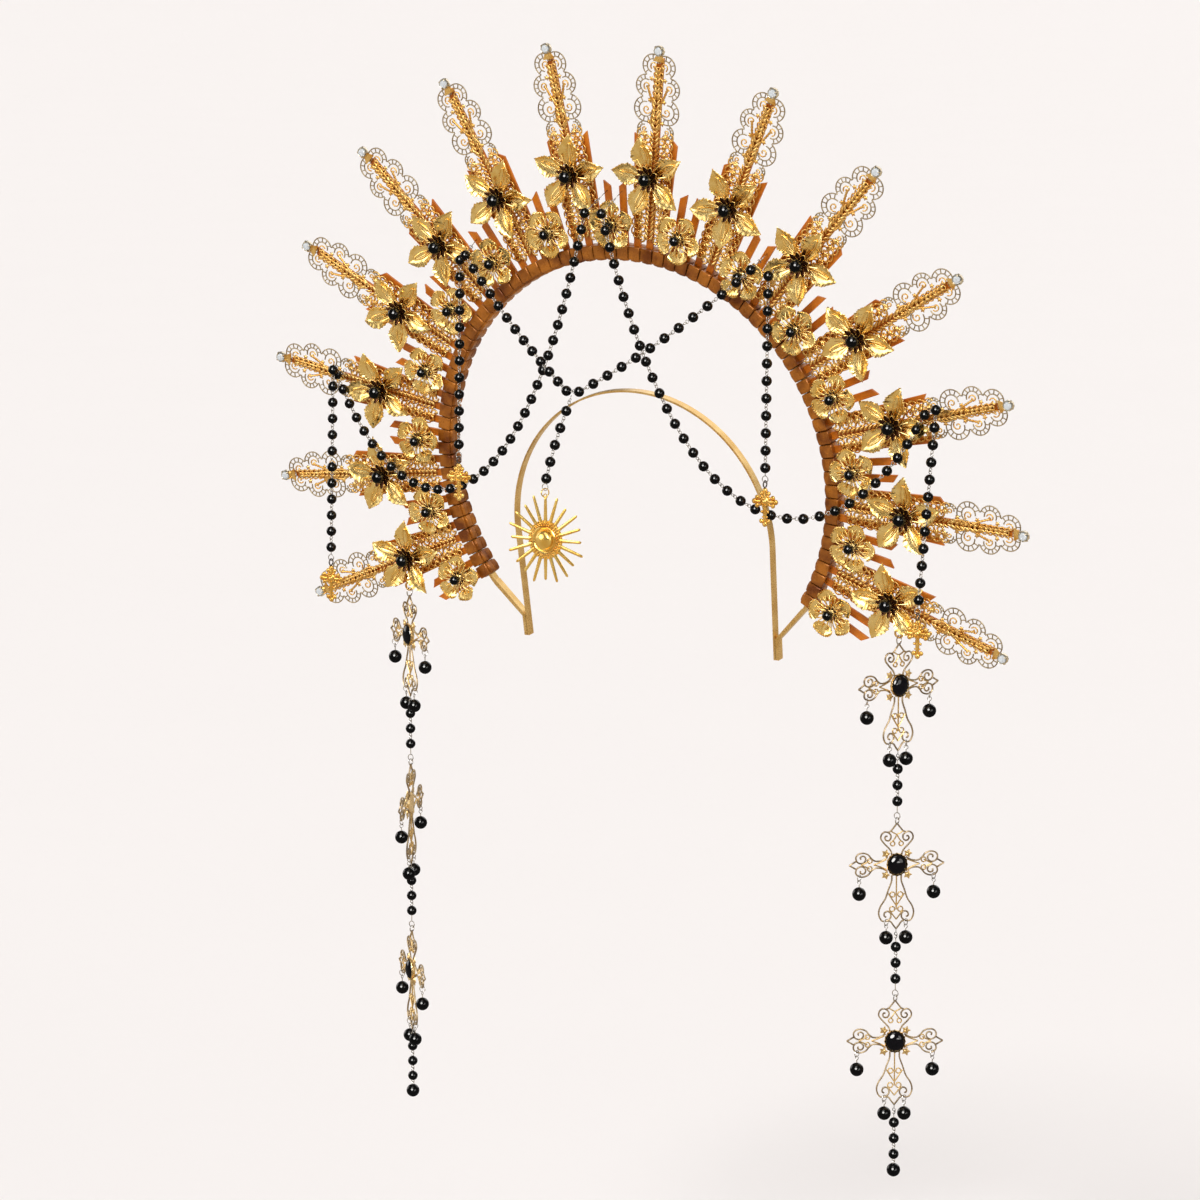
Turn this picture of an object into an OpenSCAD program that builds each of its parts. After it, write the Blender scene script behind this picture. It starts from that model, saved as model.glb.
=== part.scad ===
// Halo crown: an open hoop on a metal headband, wrapped in plastic strap ties, with
// fourteen pierced leaf rays, two rings of metal flowers, swags of black beads, a sun
// pendant for the forehead and a long drop of three crosses on each side.
// Millimetres. The wearer faces -Y, +Z is up, and left and right are as seen from the front,
// so +X is to the right.
// The origin is the underside of the headband at its top, where it sits on the head.
// The halo is drawn in its own plane: u to the side, v up, w forward of the hoop.

/* [Halo] */
// Angle that the halo leans forward of upright
halo_lean = 8.5; // [8:0.5:9]
// Number of rays
ray_count = 14; // [14:1:14]
// Angle between two rays
ray_step = 17.2; // [17.0:0.1:17.3]
// Radius of the circle through the stones at the ray tips
tip_r = 252; // [250:1:254]
// Radius of the circle through the large flowers
large_flower_r = 178; // [177:1:179]
// Radius of the circle through the small flowers
small_flower_r = 148; // [147:1:149]
// Mean radius of the hoop strip
hoop_r = 131; // [130.8:0.1:131.2]

/* [Headband] */
// Inner radius of the headband over the head
band_r = 86.5; // [86:0.5:87.5]
// Width of the gold strip, front to back
strip_w = 5; // [4.6:0.1:5]
// Thickness of the headband strip
band_t = 1.2; // [1:0.1:1.4]
// Height of the middle of the headband arc above the hoop centre
band_v = -39.5; // [-40:0.5:-39]

/* [Flowers] */
// Reach of a large petal from the flower's middle
large_petal_r = 24.5; // [23:0.5:24.5]
// Reach of a small petal
small_petal_r = 14.8; // [14.4:0.1:15]
// Diameter of the bead in a large flower and of a drop bead
large_bead_d = 8; // [7.5:0.1:8]
// Diameter of a string bead and of the bead in a small flower
bead_d = 6; // [5.5:0.1:6.2]

/* [Strings] */
// Distance between two beads along a string
bead_pitch = 9.9; // [9.7:0.1:10]
// Diameter of the wire through the beads
wire_d = 0.8; // [0.7:0.05:0.9]
// Bore of a bead
bore_d = 1.7; // [1.6:0.05:1.8]

/* [Pendants] */
// Diameter of the sun across its long rays
sun_d = 50; // [48:1:51]
// Distance between the middles of two crosses of a drop
cross_pitch = 105; // [104:1:106]
// Distance of each long drop from the middle plane
drop_x = 168; // [167:1:169]

/* [Hidden] */

$fn = 48;

gold = "goldenrod";
amber = "chocolate";
jet = "black";
silver = "silver";

clear = 0.3;        // gap at which a piece lies on its seat
seat_v = band_v + band_r;

// layers of the halo, forward of the hoop's middle
tail_back = 0.6;
tail_front = 2.1;
leaf_back = tail_front + clear;
leaf_t = 1.2;
leaf_front = leaf_back + leaf_t;
sleeve_w = 4.6;
head_front = 6.2;

// strap ties: five to a ray, and the places at the ends of the hoop
ties_per_ray = 5;
tie_step = ray_step / ties_per_ray;
tie_last = 35.5;
tail_w = 4.4;
tail_cut = 3.4;
tail_tip_by_place = [256, 202, 173];   // by distance from the ray, counted in ties
sleeve_in_r = hoop_r - 4.5;
sleeve_out_r = hoop_r + 4;
head_in_r = hoop_r - 3.4;
head_out_r = hoop_r + 4.6;
notch = 0.8;
strip_t = 2;
slot_gap = 0.2;

// hoop ends and headband legs
hoop_half_angle = 126;
band_leg_end = [84, -109];
tab_l = 11;

// a leaf's scallops: distance from the leaf's middle, distance from the hoop centre, radius
scallops = [
    [4.6, tip_r - 11, 7.2],
    [9.2, tip_r - 22.5, 6.8],
    [8.4, tip_r - 35.5, 7.9],
];
scallop_rim = 1.7;
small_scallop = [6.9, tip_r - 47, 4.2];
leaf_half_w = 11.5;
leaf_foot_r = 138;
cup_r = 3.2;
stone_pocket_r = 2.5;
cup_h = 3;

// long drop: the ear on the last leaf and the ring of the first cross that hangs in it
ear_hole_r = 1.7;
ear_bar = 1.3;
ear_v = -85;
ring_wire_r = 0.5;
first_ring_r = 2.8;
ring_r = 2.0;
hinge_to_wire = 1.5;
hinge_v = ear_v - ear_hole_r - ear_bar / 2;
hinge_w = leaf_back + leaf_t / 2;

// cross of a drop: reach of its arms
cross_top = 24;
cross_side = 28;
cross_foot = 38;
cross_t = 1.4;
cabochon_r = 5.5;
side_bead = [22, -17];
foot_bead = [5.8, -43.4];
stem_beads = [-49, -58.5, -68];
last_bead = -77.5;
left_turns = [-32, -72, -40];
right_turns = [63, 40, 33];

// eye at the end of a wire, and the ring that hangs in it
eye_r = 1.9;
eye_to_wire = 1.1;

// swags at the sides: a catenary between the top of the halo and the third ray
swag_a = 55.9;
swag_low = [121.6, -17.5];
swag_drift = -3.9;
swag_arc_out = 110;
swag_arc_in = 224;
swag_y_at_middle = -45.5;
swag_y_slope = 0.154;
swag_beads = 34;

// strings that hang straight, and the front swag
inner_top = [102, -35, 130];
inner_drift = 2.5;
inner_forward = 2.5;
inner_beads = 12;
outer_left_top = [201.5, -21.2];
outer_right_top = [204, -17];
outer_top_z = 55;
outer_left_foot = [206.5, -18.2];
outer_right_foot = [192, -14];
outer_beads = 12;
front_low = [0, -75, 50.7];
front_sag = 5;
front_half_beads = 13;
forehead_end = [0, -103.5, 3];
forehead_beads_n = 5;
forehead_lift = 2.5;

// common helpers
function two_digits(i) = i < 10 ? str("0", i) : str(i);
function ray_turn(i) = (ray_count / 2 + 0.5 - i) * ray_step;
function cosh_(x) = (exp(x) + exp(-x)) / 2;
function asinh_(x) = ln(x + sqrt(x * x + 1));
function unit(v) = v / norm(v);
function mix_(a, b, t) = a + (b - a) * t;
function mirror_x(p) = [-p[0], p[1], p[2]];
function mirrored2(p) = [-p[0], p[1]];
function turn2(p, a) = [p[0] * cos(a) - p[1] * sin(a), p[0] * sin(a) + p[1] * cos(a)];
function halo_point(u, v, w) = [
    u,
    -v * sin(halo_lean) - w * cos(halo_lean),
    v * cos(halo_lean) - w * sin(halo_lean),
];
// point of the halo at an angle from the top, positive to the left
function ray_point(angle, side, r, w) = let (p = turn2([side, r], angle)) halo_point(p[0], p[1], w);

module worn() {
    translate([0, seat_v * sin(halo_lean), -seat_v * cos(halo_lean)]) children();
}
module halo_plane() {
    worn() rotate([90 + halo_lean, 0, 0]) children();
}
module on_ray(angle) {
    halo_plane() rotate([0, 0, angle]) children();
}
module layer(back, front) {
    translate([0, 0, back]) linear_extrude(front - back) children();
}
module flat_ring(mean_r, wire_r) {
    rotate_extrude() translate([mean_r, 0]) circle(r = wire_r);
}

// wire swept along points, with a frame carried from point to point
function path_dirs(p) = [for (i = [0:len(p) - 1])
    unit(p[min(i + 1, len(p) - 1)] - p[max(i - 1, 0)])];
function carried(n, d) = unit(n - (n * d) * d);
function path_frames(dirs, start) = [
    for (i = 0, n = carried(start, dirs[0]); i < len(dirs);
         i = i + 1, n = i < len(dirs) ? carried(n, dirs[i]) : n) n];
module wire_sweep(p, d, start = [0.2, 1, 0.1], sides = 6) {
    dirs = path_dirs(p);
    normals = path_frames(dirs, start);
    points = [for (i = [0:len(p) - 1], s = [0:sides - 1])
        let (a = 360 * s / sides, b = cross(dirs[i], normals[i]))
        p[i] + d / 2 * (cos(a) * normals[i] + sin(a) * b)];
    last = (len(p) - 1) * sides;
    faces = concat(
        [[for (s = [0:sides - 1]) s]],
        [for (i = [0:len(p) - 2], s = [0:sides - 1])
            let (n = (s + 1) % sides)
            [i * sides + s, (i + 1) * sides + s, (i + 1) * sides + n, i * sides + n]],
        [[for (s = [sides - 1:-1:0]) last + s]]);
    polyhedron(points = points, faces = faces, convexity = 6);
}

// bead drilled along its string
module bead(p, dir, d) {
    u = unit(dir);
    translate(p) rotate([0, acos(u[2]), atan2(u[1], u[0])]) difference() {
        sphere(d = d);
        cylinder(h = d + 2, d = bore_d, center = true);
    }
}
module string_of_beads(centres) {
    dirs = path_dirs(centres);
    color(jet) worn() for (i = [0:len(centres) - 1]) bead(centres[i], dirs[i], bead_d);
}

// eye that closes the lower end of a wire: its points run down from the middle
function eye_points(centre) = [for (a = [90, 45, 0, -45, -90, -135, -180, -230])
    centre + eye_r * [cos(a), 0, sin(a)]];

// headband: an arch, and straight legs that draw in a little and root inside its ends
function band_leg_dir() = unit([band_leg_end[0] - band_r, band_leg_end[1] - band_v]);
module headband_arch() {
    rotate_extrude(angle = 180, $fn = 96) translate([band_r, -strip_w / 2]) square([band_t, strip_w]);
}
module headband_leg() {
    root = 0.3;
    polygon([
        [band_r + root, band_v + 3],
        [band_r + band_t - root, band_v + 3],
        [band_r + band_t, band_v],
        band_leg_end + [band_t, 0],
        band_leg_end,
        [band_r, band_v]]);
}
module headband() {
    color(gold) halo_plane() {
        translate([0, band_v, 0]) headband_arch();
        layer(-strip_w / 2, strip_w / 2) headband_leg();
        mirror([1, 0, 0]) layer(-strip_w / 2, strip_w / 2) headband_leg();
    }
}

// hoop strip that the ties wrap, with a leg and a tab at each end beside the headband
module hoop() {
    end = hoop_r * [sin(hoop_half_angle), cos(hoop_half_angle)];
    d = band_leg_dir();
    tab_low = band_leg_end + [band_t + clear, 0];
    tab_high = tab_low - tab_l * d;
    color(gold) halo_plane() {
        rotate([0, 0, 90 - hoop_half_angle]) rotate_extrude(angle = 2 * hoop_half_angle, $fn = 144)
            translate([hoop_r - strip_t / 2, -strip_w / 2]) square([strip_t, strip_w]);
        for (side = [0, 1]) mirror([side, 0, 0]) layer(-strip_w / 2, strip_w / 2) {
            polygon([
                tab_low,
                tab_low + [strip_t, 0],
                tab_high + [strip_t, 1],
                end + [0.2, -1.4],
                end + [1.5, 1.5],
                end + [-1.2, 0.9],
                tab_high + [0, 2]]);
        }
    }
}

// strap ties: sleeve of wraps round the hoop strip, row of heads, and tails cut on the slant
function tie_numbers() = [for (k = [-tie_last:1:tie_last]) k];
function tie_place(k) = let (m = abs(k - ties_per_ray / 2) % ties_per_ray) min(m, ties_per_ray - m);
function tail_tip(k) = tail_tip_by_place[tie_place(k)];
function tail_slant(k) = (round(abs(k) + 0.5) % 2 == 0) == (k > 0) ? 1 : -1;
function notched_edge(r, half_w, depth) = [for (k = tie_numbers()) each [
    turn2([half_w, r], k * tie_step),
    turn2([-half_w, r], k * tie_step),
    turn2([-half_w - 0.15, r - depth], k * tie_step)]];
function reversed(list) = [for (i = [len(list) - 1:-1:0]) list[i]];
module notched_ring(in_r, out_r, half_w) {
    polygon(concat(
        notched_edge(out_r, half_w * out_r / hoop_r, notch),
        reversed(notched_edge(in_r, half_w * in_r / hoop_r, -notch))));
}
module tail_ring() {
    half = tail_w / 2;
    polygon(concat(
        [for (k = tie_numbers()) each [
            turn2([half, sleeve_out_r - 1], k * tie_step),
            turn2([half, tail_tip(k) - (tail_slant(k) > 0 ? 0 : tail_cut)], k * tie_step),
            turn2([-half, tail_tip(k) - (tail_slant(k) > 0 ? tail_cut : 0)], k * tie_step),
            turn2([-half, sleeve_out_r - 1], k * tie_step)]],
        [for (k = reversed(tie_numbers())) turn2([0, hoop_r + 2.6], k * tie_step)]));
}
module straps() {
    half_w = hoop_r * tan(tie_step / 2) - 0.35;
    slot_r = strip_t / 2 + slot_gap;
    color(amber) halo_plane() difference() {
        union() {
            layer(-sleeve_w, sleeve_w) notched_ring(sleeve_in_r, sleeve_out_r, half_w);
            layer(sleeve_w - 0.1, head_front) notched_ring(head_in_r, head_out_r, half_w);
            layer(tail_back, tail_front) tail_ring();
        }
        layer(-strip_w / 2 - slot_gap, strip_w / 2 + slot_gap) difference() {
            circle(r = hoop_r + slot_r, $fn = 144);
            circle(r = hoop_r - slot_r, $fn = 144);
        }
    }
}

// leaf ray: scalloped and pierced, with a cup for the stone at its tip
module leaf_blade() {
    difference() {
        union() {
            for (side = [-1, 1], s = scallops) translate([side * s[0], s[1]]) circle(r = s[2]);
        }
        for (side = [-1, 1], s = scallops)
            translate([side * (s[0] + 0.8), s[1]]) circle(r = s[2] - scallop_rim - 0.8);
    }
    for (side = [-1, 1]) translate([side * small_scallop[0], small_scallop[1]])
        circle(r = small_scallop[2]);
    polygon([
        [-6, leaf_foot_r], [6, leaf_foot_r], [leaf_half_w, leaf_foot_r + 9],
        [leaf_half_w, small_scallop[1] - 12], [5, small_scallop[1] + 4], [1.6, tip_r - 34],
        [1.6, tip_r - 12], [4.5, tip_r - 5], [0, tip_r + 1], [-4.5, tip_r - 5],
        [-1.6, tip_r - 12], [-1.6, tip_r - 34], [-5, small_scallop[1] + 4],
        [-leaf_half_w, small_scallop[1] - 12], [-leaf_half_w, leaf_foot_r + 9]]);
}
module drop_ear(i) {
    side = i == 1 ? -1 : 1;
    at = turn2([side * drop_x, ear_v], -ray_turn(i));
    towards = at[0] > 0 ? -1 : 1;
    difference() {
        union() {
            translate(at) circle(r = ear_hole_r + ear_bar);
            translate([min(at[0], at[0] + towards * 7), at[1] - 1.5]) square([7, 3]);
        }
        translate(at) circle(r = ear_hole_r);
    }
}
module leaf(i) {
    color(gold) on_ray(ray_turn(i)) {
        layer(leaf_back, leaf_front) {
            leaf_blade();
            if (i == 1 || i == ray_count) drop_ear(i);
        }
        translate([0, tip_r, leaf_back]) difference() {
            cylinder(r = cup_r, h = cup_h);
            translate([0, 0, leaf_t]) cylinder(r = stone_pocket_r, h = cup_h);
        }
    }
}

// height of a flower's crown, which carries its bead
large_crown = 3.9;
small_crown = 7.5;

// flower as one closed sheet on a polar grid; rings are [share of reach or radius, height]
function lobe(t, inner, outer, power) = inner + (outer - inner) * pow(max(0, 1 - abs(2 * t)), power);
function grid_ring(n, m, phase, reach, inner, power, rad, share, h) = [
    for (j = [0:n * m - 1])
        let (t = (j % m) / m - 0.5, a = phase + 360 * j / (n * m))
        let (r = share > 0 ? share * lobe(t, inner, reach, power) : rad)
        [r * cos(a), r * sin(a), h + (share >= 1 ? 0.9 * (1 - abs(2 * t)) : 0)]];
module sheet_flower(n, m, phase, reach, inner, power, top, under, crown, foot) {
    count = n * m;
    rings = concat(
        [for (q = top) grid_ring(n, m, phase, reach, inner, power, q[0], q[1], q[2])],
        [for (q = under) grid_ring(n, m, phase, reach, inner, power, q[0], q[1], q[2])]);
    points = concat([[0, 0, crown]], [for (r = rings) each r], [[0, 0, foot]]);
    last = len(points) - 1;
    faces = concat(
        [for (j = [0:count - 1]) [0, 1 + (j + 1) % count, 1 + j]],
        [for (k = [0:len(rings) - 2], j = [0:count - 1])
            let (a = 1 + k * count + j, b = 1 + k * count + (j + 1) % count)
            each [[a, b, b + count], [a, b + count, a + count]]],
        [for (j = [0:count - 1])
            [last, last - count + j, last - count + (j + 1) % count]]);
    polyhedron(points = points, faces = faces, convexity = 8);
}
module large_flower(i) {
    color(gold) on_ray(ray_turn(i)) translate([0, large_flower_r, leaf_front + clear])
        sheet_flower(5, 6, 90 + 29 * i, large_petal_r, 6.5, 0.72,
            [[2.6, 0, 4.2], [4.4, 0, 2.2], [0, 0.55, 2.4], [0, 1, 4.6]],
            [[0, 0.99, 3.9], [5, 0, 0]], large_crown, 0);
}
module small_flower(k) {
    on_ray(k * ray_step) translate([0, small_flower_r, tail_front + clear])
        sheet_flower(5, 6, 90 + 23 * k, small_petal_r, 7.4, 0.42,
            [[2, 0, 7.8], [3.4, 0, 5.4], [0, 0.6, 5.4], [0, 1, 7]],
            [[0, 0.99, 6.3], [5.4, 0, 4.2], [4.8, 0, 0]], small_crown, 0);
}
module small_flowers() {
    color(gold) for (k = [-7:7]) small_flower(k);
}
large_bead_w = leaf_front + clear + large_crown + clear + large_bead_d / 2;
small_bead_w = tail_front + clear + small_crown + clear + bead_d / 2;
module large_flower_beads() {
    color(jet) for (i = [1:ray_count]) on_ray(ray_turn(i))
        translate([0, large_flower_r, large_bead_w]) sphere(d = large_bead_d);
}
module small_flower_beads() {
    color(jet) for (k = [-7:7]) on_ray(k * ray_step)
        translate([0, small_flower_r, small_bead_w]) sphere(d = bead_d);
}

// side swag: points of the catenary by length along the chain from its lowest point,
// positive towards the middle; side is -1 on the left and 1 on the right
function swag_point(s, side) = let (x = swag_a * asinh_(s / swag_a), u = swag_low[0] - x) [
    side * u + swag_drift,
    swag_y_at_middle + swag_y_slope * u,
    swag_low[1] + swag_a * (cosh_(x / swag_a) - 1),
];
function swag_centres(side) = [for (i = [0:swag_beads - 1])
    swag_point(-swag_arc_out + (i + 0.5) * (swag_arc_out + swag_arc_in) / swag_beads, side)];
function sided(p, side) = [-side * p[0], p[1], p[2]];
function swag_path(side) = concat(
    [sided(ray_point(ray_turn(3), 5, small_scallop[1], leaf_front + clear), side),
     swag_point(-swag_arc_out, side)],
    swag_centres(side),
    [swag_point(swag_arc_in, side),
     sided(ray_point(tie_step / 2, 0, small_flower_r + 19, tail_front + clear), side)]);
module swag_left_beads() { string_of_beads(swag_centres(-1)); }
module swag_right_beads() { string_of_beads(swag_centres(1)); }

// front swag: each half is a shallow curve from the shoulder to the low point
function front_point(t) = mix_(mirror_x(inner_top), front_low, t)
    - [0, 0, 4 * front_sag * t * (1 - t)];
function front_half() = [for (i = [0:front_half_beads - 1])
    front_point((i + 0.8) / (front_half_beads + 0.35))];
function front_dirs() = path_dirs(concat(front_half(), [front_low]));
function shoulder_foot() = ray_point(2 * ray_step + tie_step / 2, 0,
    small_flower_r + 18, tail_front + clear);
function front_path() = concat(
    [shoulder_foot(), mirror_x(inner_top)],
    front_half(), [front_low], [for (p = reversed(front_half())) mirror_x(p)],
    [inner_top, mirror_x(shoulder_foot())]);
module swag_front_beads() {
    color(jet) worn() for (side = [0, 1], i = [0:front_half_beads - 1])
        mirror([side, 0, 0]) bead(front_half()[i], front_dirs()[i], bead_d);
}

// inner strings: straight down from the shoulders
function inner_start(side) = [side * (inner_top[0] + 1.5) + inner_drift, inner_top[1], inner_top[2] - 3];
function inner_eye(side) = inner_start(side)
    - [0, inner_forward, (inner_beads + 0.2) * bead_pitch + 0.5];
function inner_centres(side) = [for (i = [0:inner_beads - 1])
    mix_(inner_start(side), inner_eye(side) + [0, 0, 0.5], (i + 0.6) / (inner_beads + 0.2))];
function inner_path(side) = concat(
    [sided(ray_point(2 * ray_step + 1.5 * tie_step, 0, small_flower_r + 16,
        leaf_front + clear + wire_d / 2), side),
     inner_start(side)],
    inner_centres(side),
    eye_points(inner_eye(side)));
module inner_left_beads() { string_of_beads(inner_centres(-1)); }
module inner_right_beads() { string_of_beads(inner_centres(1)); }

// outer strings: from the third ray in from each end, drawn in or out a little at the foot
function outer_top(side) = side < 0 ? outer_left_top : outer_right_top;
function outer_foot(side) = side < 0 ? outer_left_foot : outer_right_foot;
function outer_start(side) = [side * outer_top(side)[0], outer_top(side)[1], outer_top_z];
function outer_eye(side) = [side * outer_foot(side)[0], outer_foot(side)[1],
    outer_top_z - (outer_beads + 0.2) * bead_pitch - 0.5];
function outer_centres(side) = [for (i = [0:outer_beads - 1])
    mix_(outer_start(side), outer_eye(side) + [0, 0, 0.5], (i + 0.6) / (outer_beads + 0.2))];
function outer_path(side) = concat(
    [sided(ray_point(ray_turn(3), 1.5, small_scallop[1], leaf_front + clear), side),
     outer_start(side)],
    outer_centres(side),
    eye_points(outer_eye(side)));
module outer_left_beads() { string_of_beads(outer_centres(-1)); }
module outer_right_beads() { string_of_beads(outer_centres(1)); }

// forehead string: over the brow from the low point of the front swag
function forehead_point(t) = mix_(front_low - [0, 0, 1.3], forehead_end, t)
    + [0, -4 * forehead_lift * t * (1 - t), 0];
function forehead_centres() = [for (i = [0:forehead_beads_n - 1])
    forehead_point((i + 0.75) / (forehead_beads_n + 0.1))];
function forehead_path() = concat([forehead_point(0)], forehead_centres(),
    eye_points(forehead_end - [0, 0, 1.5]));
module forehead_beads() { string_of_beads(forehead_centres()); }

module chain_wires() {
    color(silver) worn() {
        for (side = [-1, 1]) {
            wire_sweep(swag_path(side), wire_d, [0, 0, 1]);
            wire_sweep(inner_path(side), wire_d, [1, 0, 0]);
            wire_sweep(outer_path(side), wire_d, [1, 0, 0]);
        }
        wire_sweep(front_path(), wire_d, [0, 0, 1]);
        wire_sweep(forehead_path(), wire_d, [1, 0, 0]);
    }
}

// small cross charm on a ring, at the foot of each straight string
function eye_low(centre) = centre - [0, 0, eye_r];
module charm_at(eye_centre) {
    ring_top = eye_low(eye_centre) + [0, 0, eye_to_wire];
    translate(ring_top - [0, 0, ring_r]) {
        rotate([0, 90, 0]) flat_ring(ring_r, ring_wire_r);
        translate([0, 0.8, -ring_r]) rotate([90, 0, 0]) linear_extrude(1.6) charm_outline();
    }
}
module charm_outline() {
    translate([-1.3, -20]) square([2.6, 20.3]);
    translate([-5.5, -9.3]) square([11, 2.6]);
    for (p = [[-5.8, -8], [5.8, -8], [0, -1.8], [0, -20.4]]) translate(p) circle(r = 1.9);
    for (p = [[-4.2, -6.1], [-4.2, -9.9], [4.2, -6.1], [4.2, -9.9], [-2.1, -3.2], [2.1, -3.2],
              [-2.1, -18.6], [2.1, -18.6], [-1.9, -13.4], [1.9, -13.4]])
        translate(p) circle(r = 1.5);
    translate([0, -8]) circle(r = 3);
}
module charms() {
    color(gold) worn() for (side = [-1, 1]) {
        charm_at(inner_eye(side));
        charm_at(outer_eye(side));
    }
}

// sun pendant: a star of tapered rays round a domed boss, on a ring
sun_rays = 20;
sun_ray_root = [1.0, 9.6];       // half width and distance from the middle
sun_ray_tip = [0.55, sun_d / 2];
sun_t = 1.4;
sun_rim_r = 8.7;
sun_ring_r = 2.4;
sun_balance = 0.38;      // set back so that the domed boss hangs plumb below the ring
sun_hinge = forehead_end - [0, 0, 1.5 + eye_r];
sun_ring_centre = eye_to_wire - sun_ring_r;
sun_middle = sun_ring_centre - sun_ring_r - sun_d / 2 + 0.4;
module sun_star() {
    polygon([for (k = [0:sun_rays - 1])
        for (p = [mirrored2(sun_ray_root), mirrored2(sun_ray_tip), sun_ray_tip, sun_ray_root])
            turn2(p, -k * 360 / sun_rays)]);
}
module sun_pendant() {
    color(gold) worn() translate(sun_hinge) {
        translate([0, 0, sun_ring_centre]) rotate([0, 90, 0]) flat_ring(sun_ring_r, ring_wire_r);
        translate([0, sun_balance, sun_middle]) rotate([90, 0, 0]) {
            translate([0, 0, -sun_t / 2]) linear_extrude(sun_t) sun_star();
            cylinder(r = sun_rim_r, h = 1.6);
            intersection() {
                translate([0, 0, -3.4]) sphere(r = 7.4);
                cylinder(r = 6.6, h = 10);
            }
        }
    }
}

// long drop: crosses one below the other, each with its ring, pins and stem of wire
module cross_arm(reach) {
    polygon([[-2.6, 5], [2.6, 5], [1.7, reach - 12], [5.6, reach - 7], [2.8, reach - 6],
        [0, reach], [-2.8, reach - 6], [-5.6, reach - 7], [-1.7, reach - 12]]);
    for (side = [-1, 1]) translate([side * 4.7, reach - 7.5]) difference() {
        circle(r = 4.1);
        translate([side * 0.5, 0]) circle(r = 2.3);
    }
}
module cross_foot_arm() {
    difference() {
        union() {
            polygon([[-2.4, -6], [2.4, -6], [9.2, -23], [-9.2, -23]]);
            translate([0, -25.6]) circle(r = 9.6);
            for (side = [-1, 1]) translate([side * 4.6, -33]) circle(r = 4);
            polygon([[-4, -34], [4, -34], [0.6, -cross_foot], [-0.6, -cross_foot]]);
        }
        polygon([[-1.2, -10], [1.2, -10], [6.6, -23.5], [-6.6, -23.5]]);
        translate([0, -23.4]) circle(r = 6.6);
    }
}
module cross_outline() {
    cross_arm(cross_top);
    rotate([0, 0, 90]) cross_arm(cross_side);
    rotate([0, 0, -90]) cross_arm(cross_side);
    cross_foot_arm();
    circle(r = 7.4);
}
module pin(x, top, low) {
    translate([x, 0, low]) cylinder(d = wire_d, h = top - low, $fn = 24);
}
function cross_depth(k) = hinge_to_wire - 2 * first_ring_r + 0.4 - cross_top - (k - 1) * cross_pitch;
module cross_piece(k, turn) {
    color(gold) {
        rotate([0, 0, turn]) {
            rotate([90, 0, 0]) {
                translate([0, 0, -cross_t / 2]) linear_extrude(cross_t) cross_outline();
                translate([0, 0, cross_t / 2 - 0.1]) difference() {
                    cylinder(r = cabochon_r + 1.2, h = 1.5);
                    translate([0, 0, 0.1]) cylinder(r = cabochon_r + 0.2, h = 2);
                }
            }
            for (side = [-1, 1]) {
                pin(side * side_bead[0], -7, side_bead[1] - 3.4);
                pin(side * foot_bead[0], -36, foot_bead[1] - 3.4);
            }
        }
        r = k == 1 ? first_ring_r : ring_r;
        translate([0, 0, cross_top - 0.4 + r]) rotate([0, 90, 0]) flat_ring(r, ring_wire_r);
        stem_low = k == 3 ? last_bead - 3.4 : next_eye + eye_r;
        pin(0, -cross_foot + 0.5, stem_low);
        if (k < 3) translate([0, 0, next_eye]) rotate([90, 0, 0]) flat_ring(eye_r, wire_d / 2);
    }
}
next_eye = -cross_pitch + cross_top - 0.4 + 2 * ring_r - eye_to_wire + eye_r;
module cabochon_piece() {
    color(jet) translate([0, 0, cross_t / 2 + 0.15]) intersection() {
        translate([0, 0, -5.2]) sphere(r = 8.2);
        cylinder(r = cabochon_r, h = 5);
    }
}
function turns(side) = side < 0 ? left_turns : right_turns;
module drop_place(side, k) {
    worn() translate(halo_point(side * drop_x, hinge_v, hinge_w)) translate([0, 0, cross_depth(k)])
        children();
}
module cross_node(side, k) {
    drop_place(side, k) cross_piece(k, turns(side)[k - 1]);
}
module cabochon_node(side, k) {
    drop_place(side, k) rotate([0, 0, turns(side)[k - 1]]) rotate([90, 0, 0]) cabochon_piece();
}
module drop_beads(side) {
    color(jet) for (k = [1:3]) drop_place(side, k) {
        rotate([0, 0, turns(side)[k - 1]]) for (s = [-1, 1]) {
            bead([s * side_bead[0], 0, side_bead[1]], [0, 0, 1], large_bead_d);
            bead([s * foot_bead[0], 0, foot_bead[1]], [0, 0, 1], large_bead_d);
        }
        for (z = stem_beads) bead([0, 0, z], [0, 0, 1], bead_d);
        if (k == 3) bead([0, 0, last_bead], [0, 0, 1], large_bead_d);
    }
}

headband();
hoop();
straps();
for (i = [1:ray_count]) {
    leaf(i);
    large_flower(i);
}
small_flowers();
large_flower_beads();
small_flower_beads();
swag_left_beads();
swag_right_beads();
swag_front_beads();
inner_left_beads();
inner_right_beads();
outer_left_beads();
outer_right_beads();
forehead_beads();
chain_wires();
charms();
sun_pendant();
for (k = [1:3]) {
    cross_node(-1, k);
    cross_node(1, k);
    cabochon_node(-1, k);
    cabochon_node(1, k);
}
drop_beads(-1);  // left_drop_beads
drop_beads(1);  // right_drop_beads
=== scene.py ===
# %% [markdown]
# # Halo crown, dressed for the camera
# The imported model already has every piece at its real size: the hoop, the ties, the leaves, the
# flowers, the strings and the drops. This lesson keeps that frame and gives each piece the shape
# and finish that a camera sees: pierced filigree, stamped petals, glossy beads, amber plastic.
# Every small part is worked out in millimetres and made into a mesh in metres at the end.

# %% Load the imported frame
import math

import bmesh
import bpy
import numpy as np
from mathutils import Matrix, Vector


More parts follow.
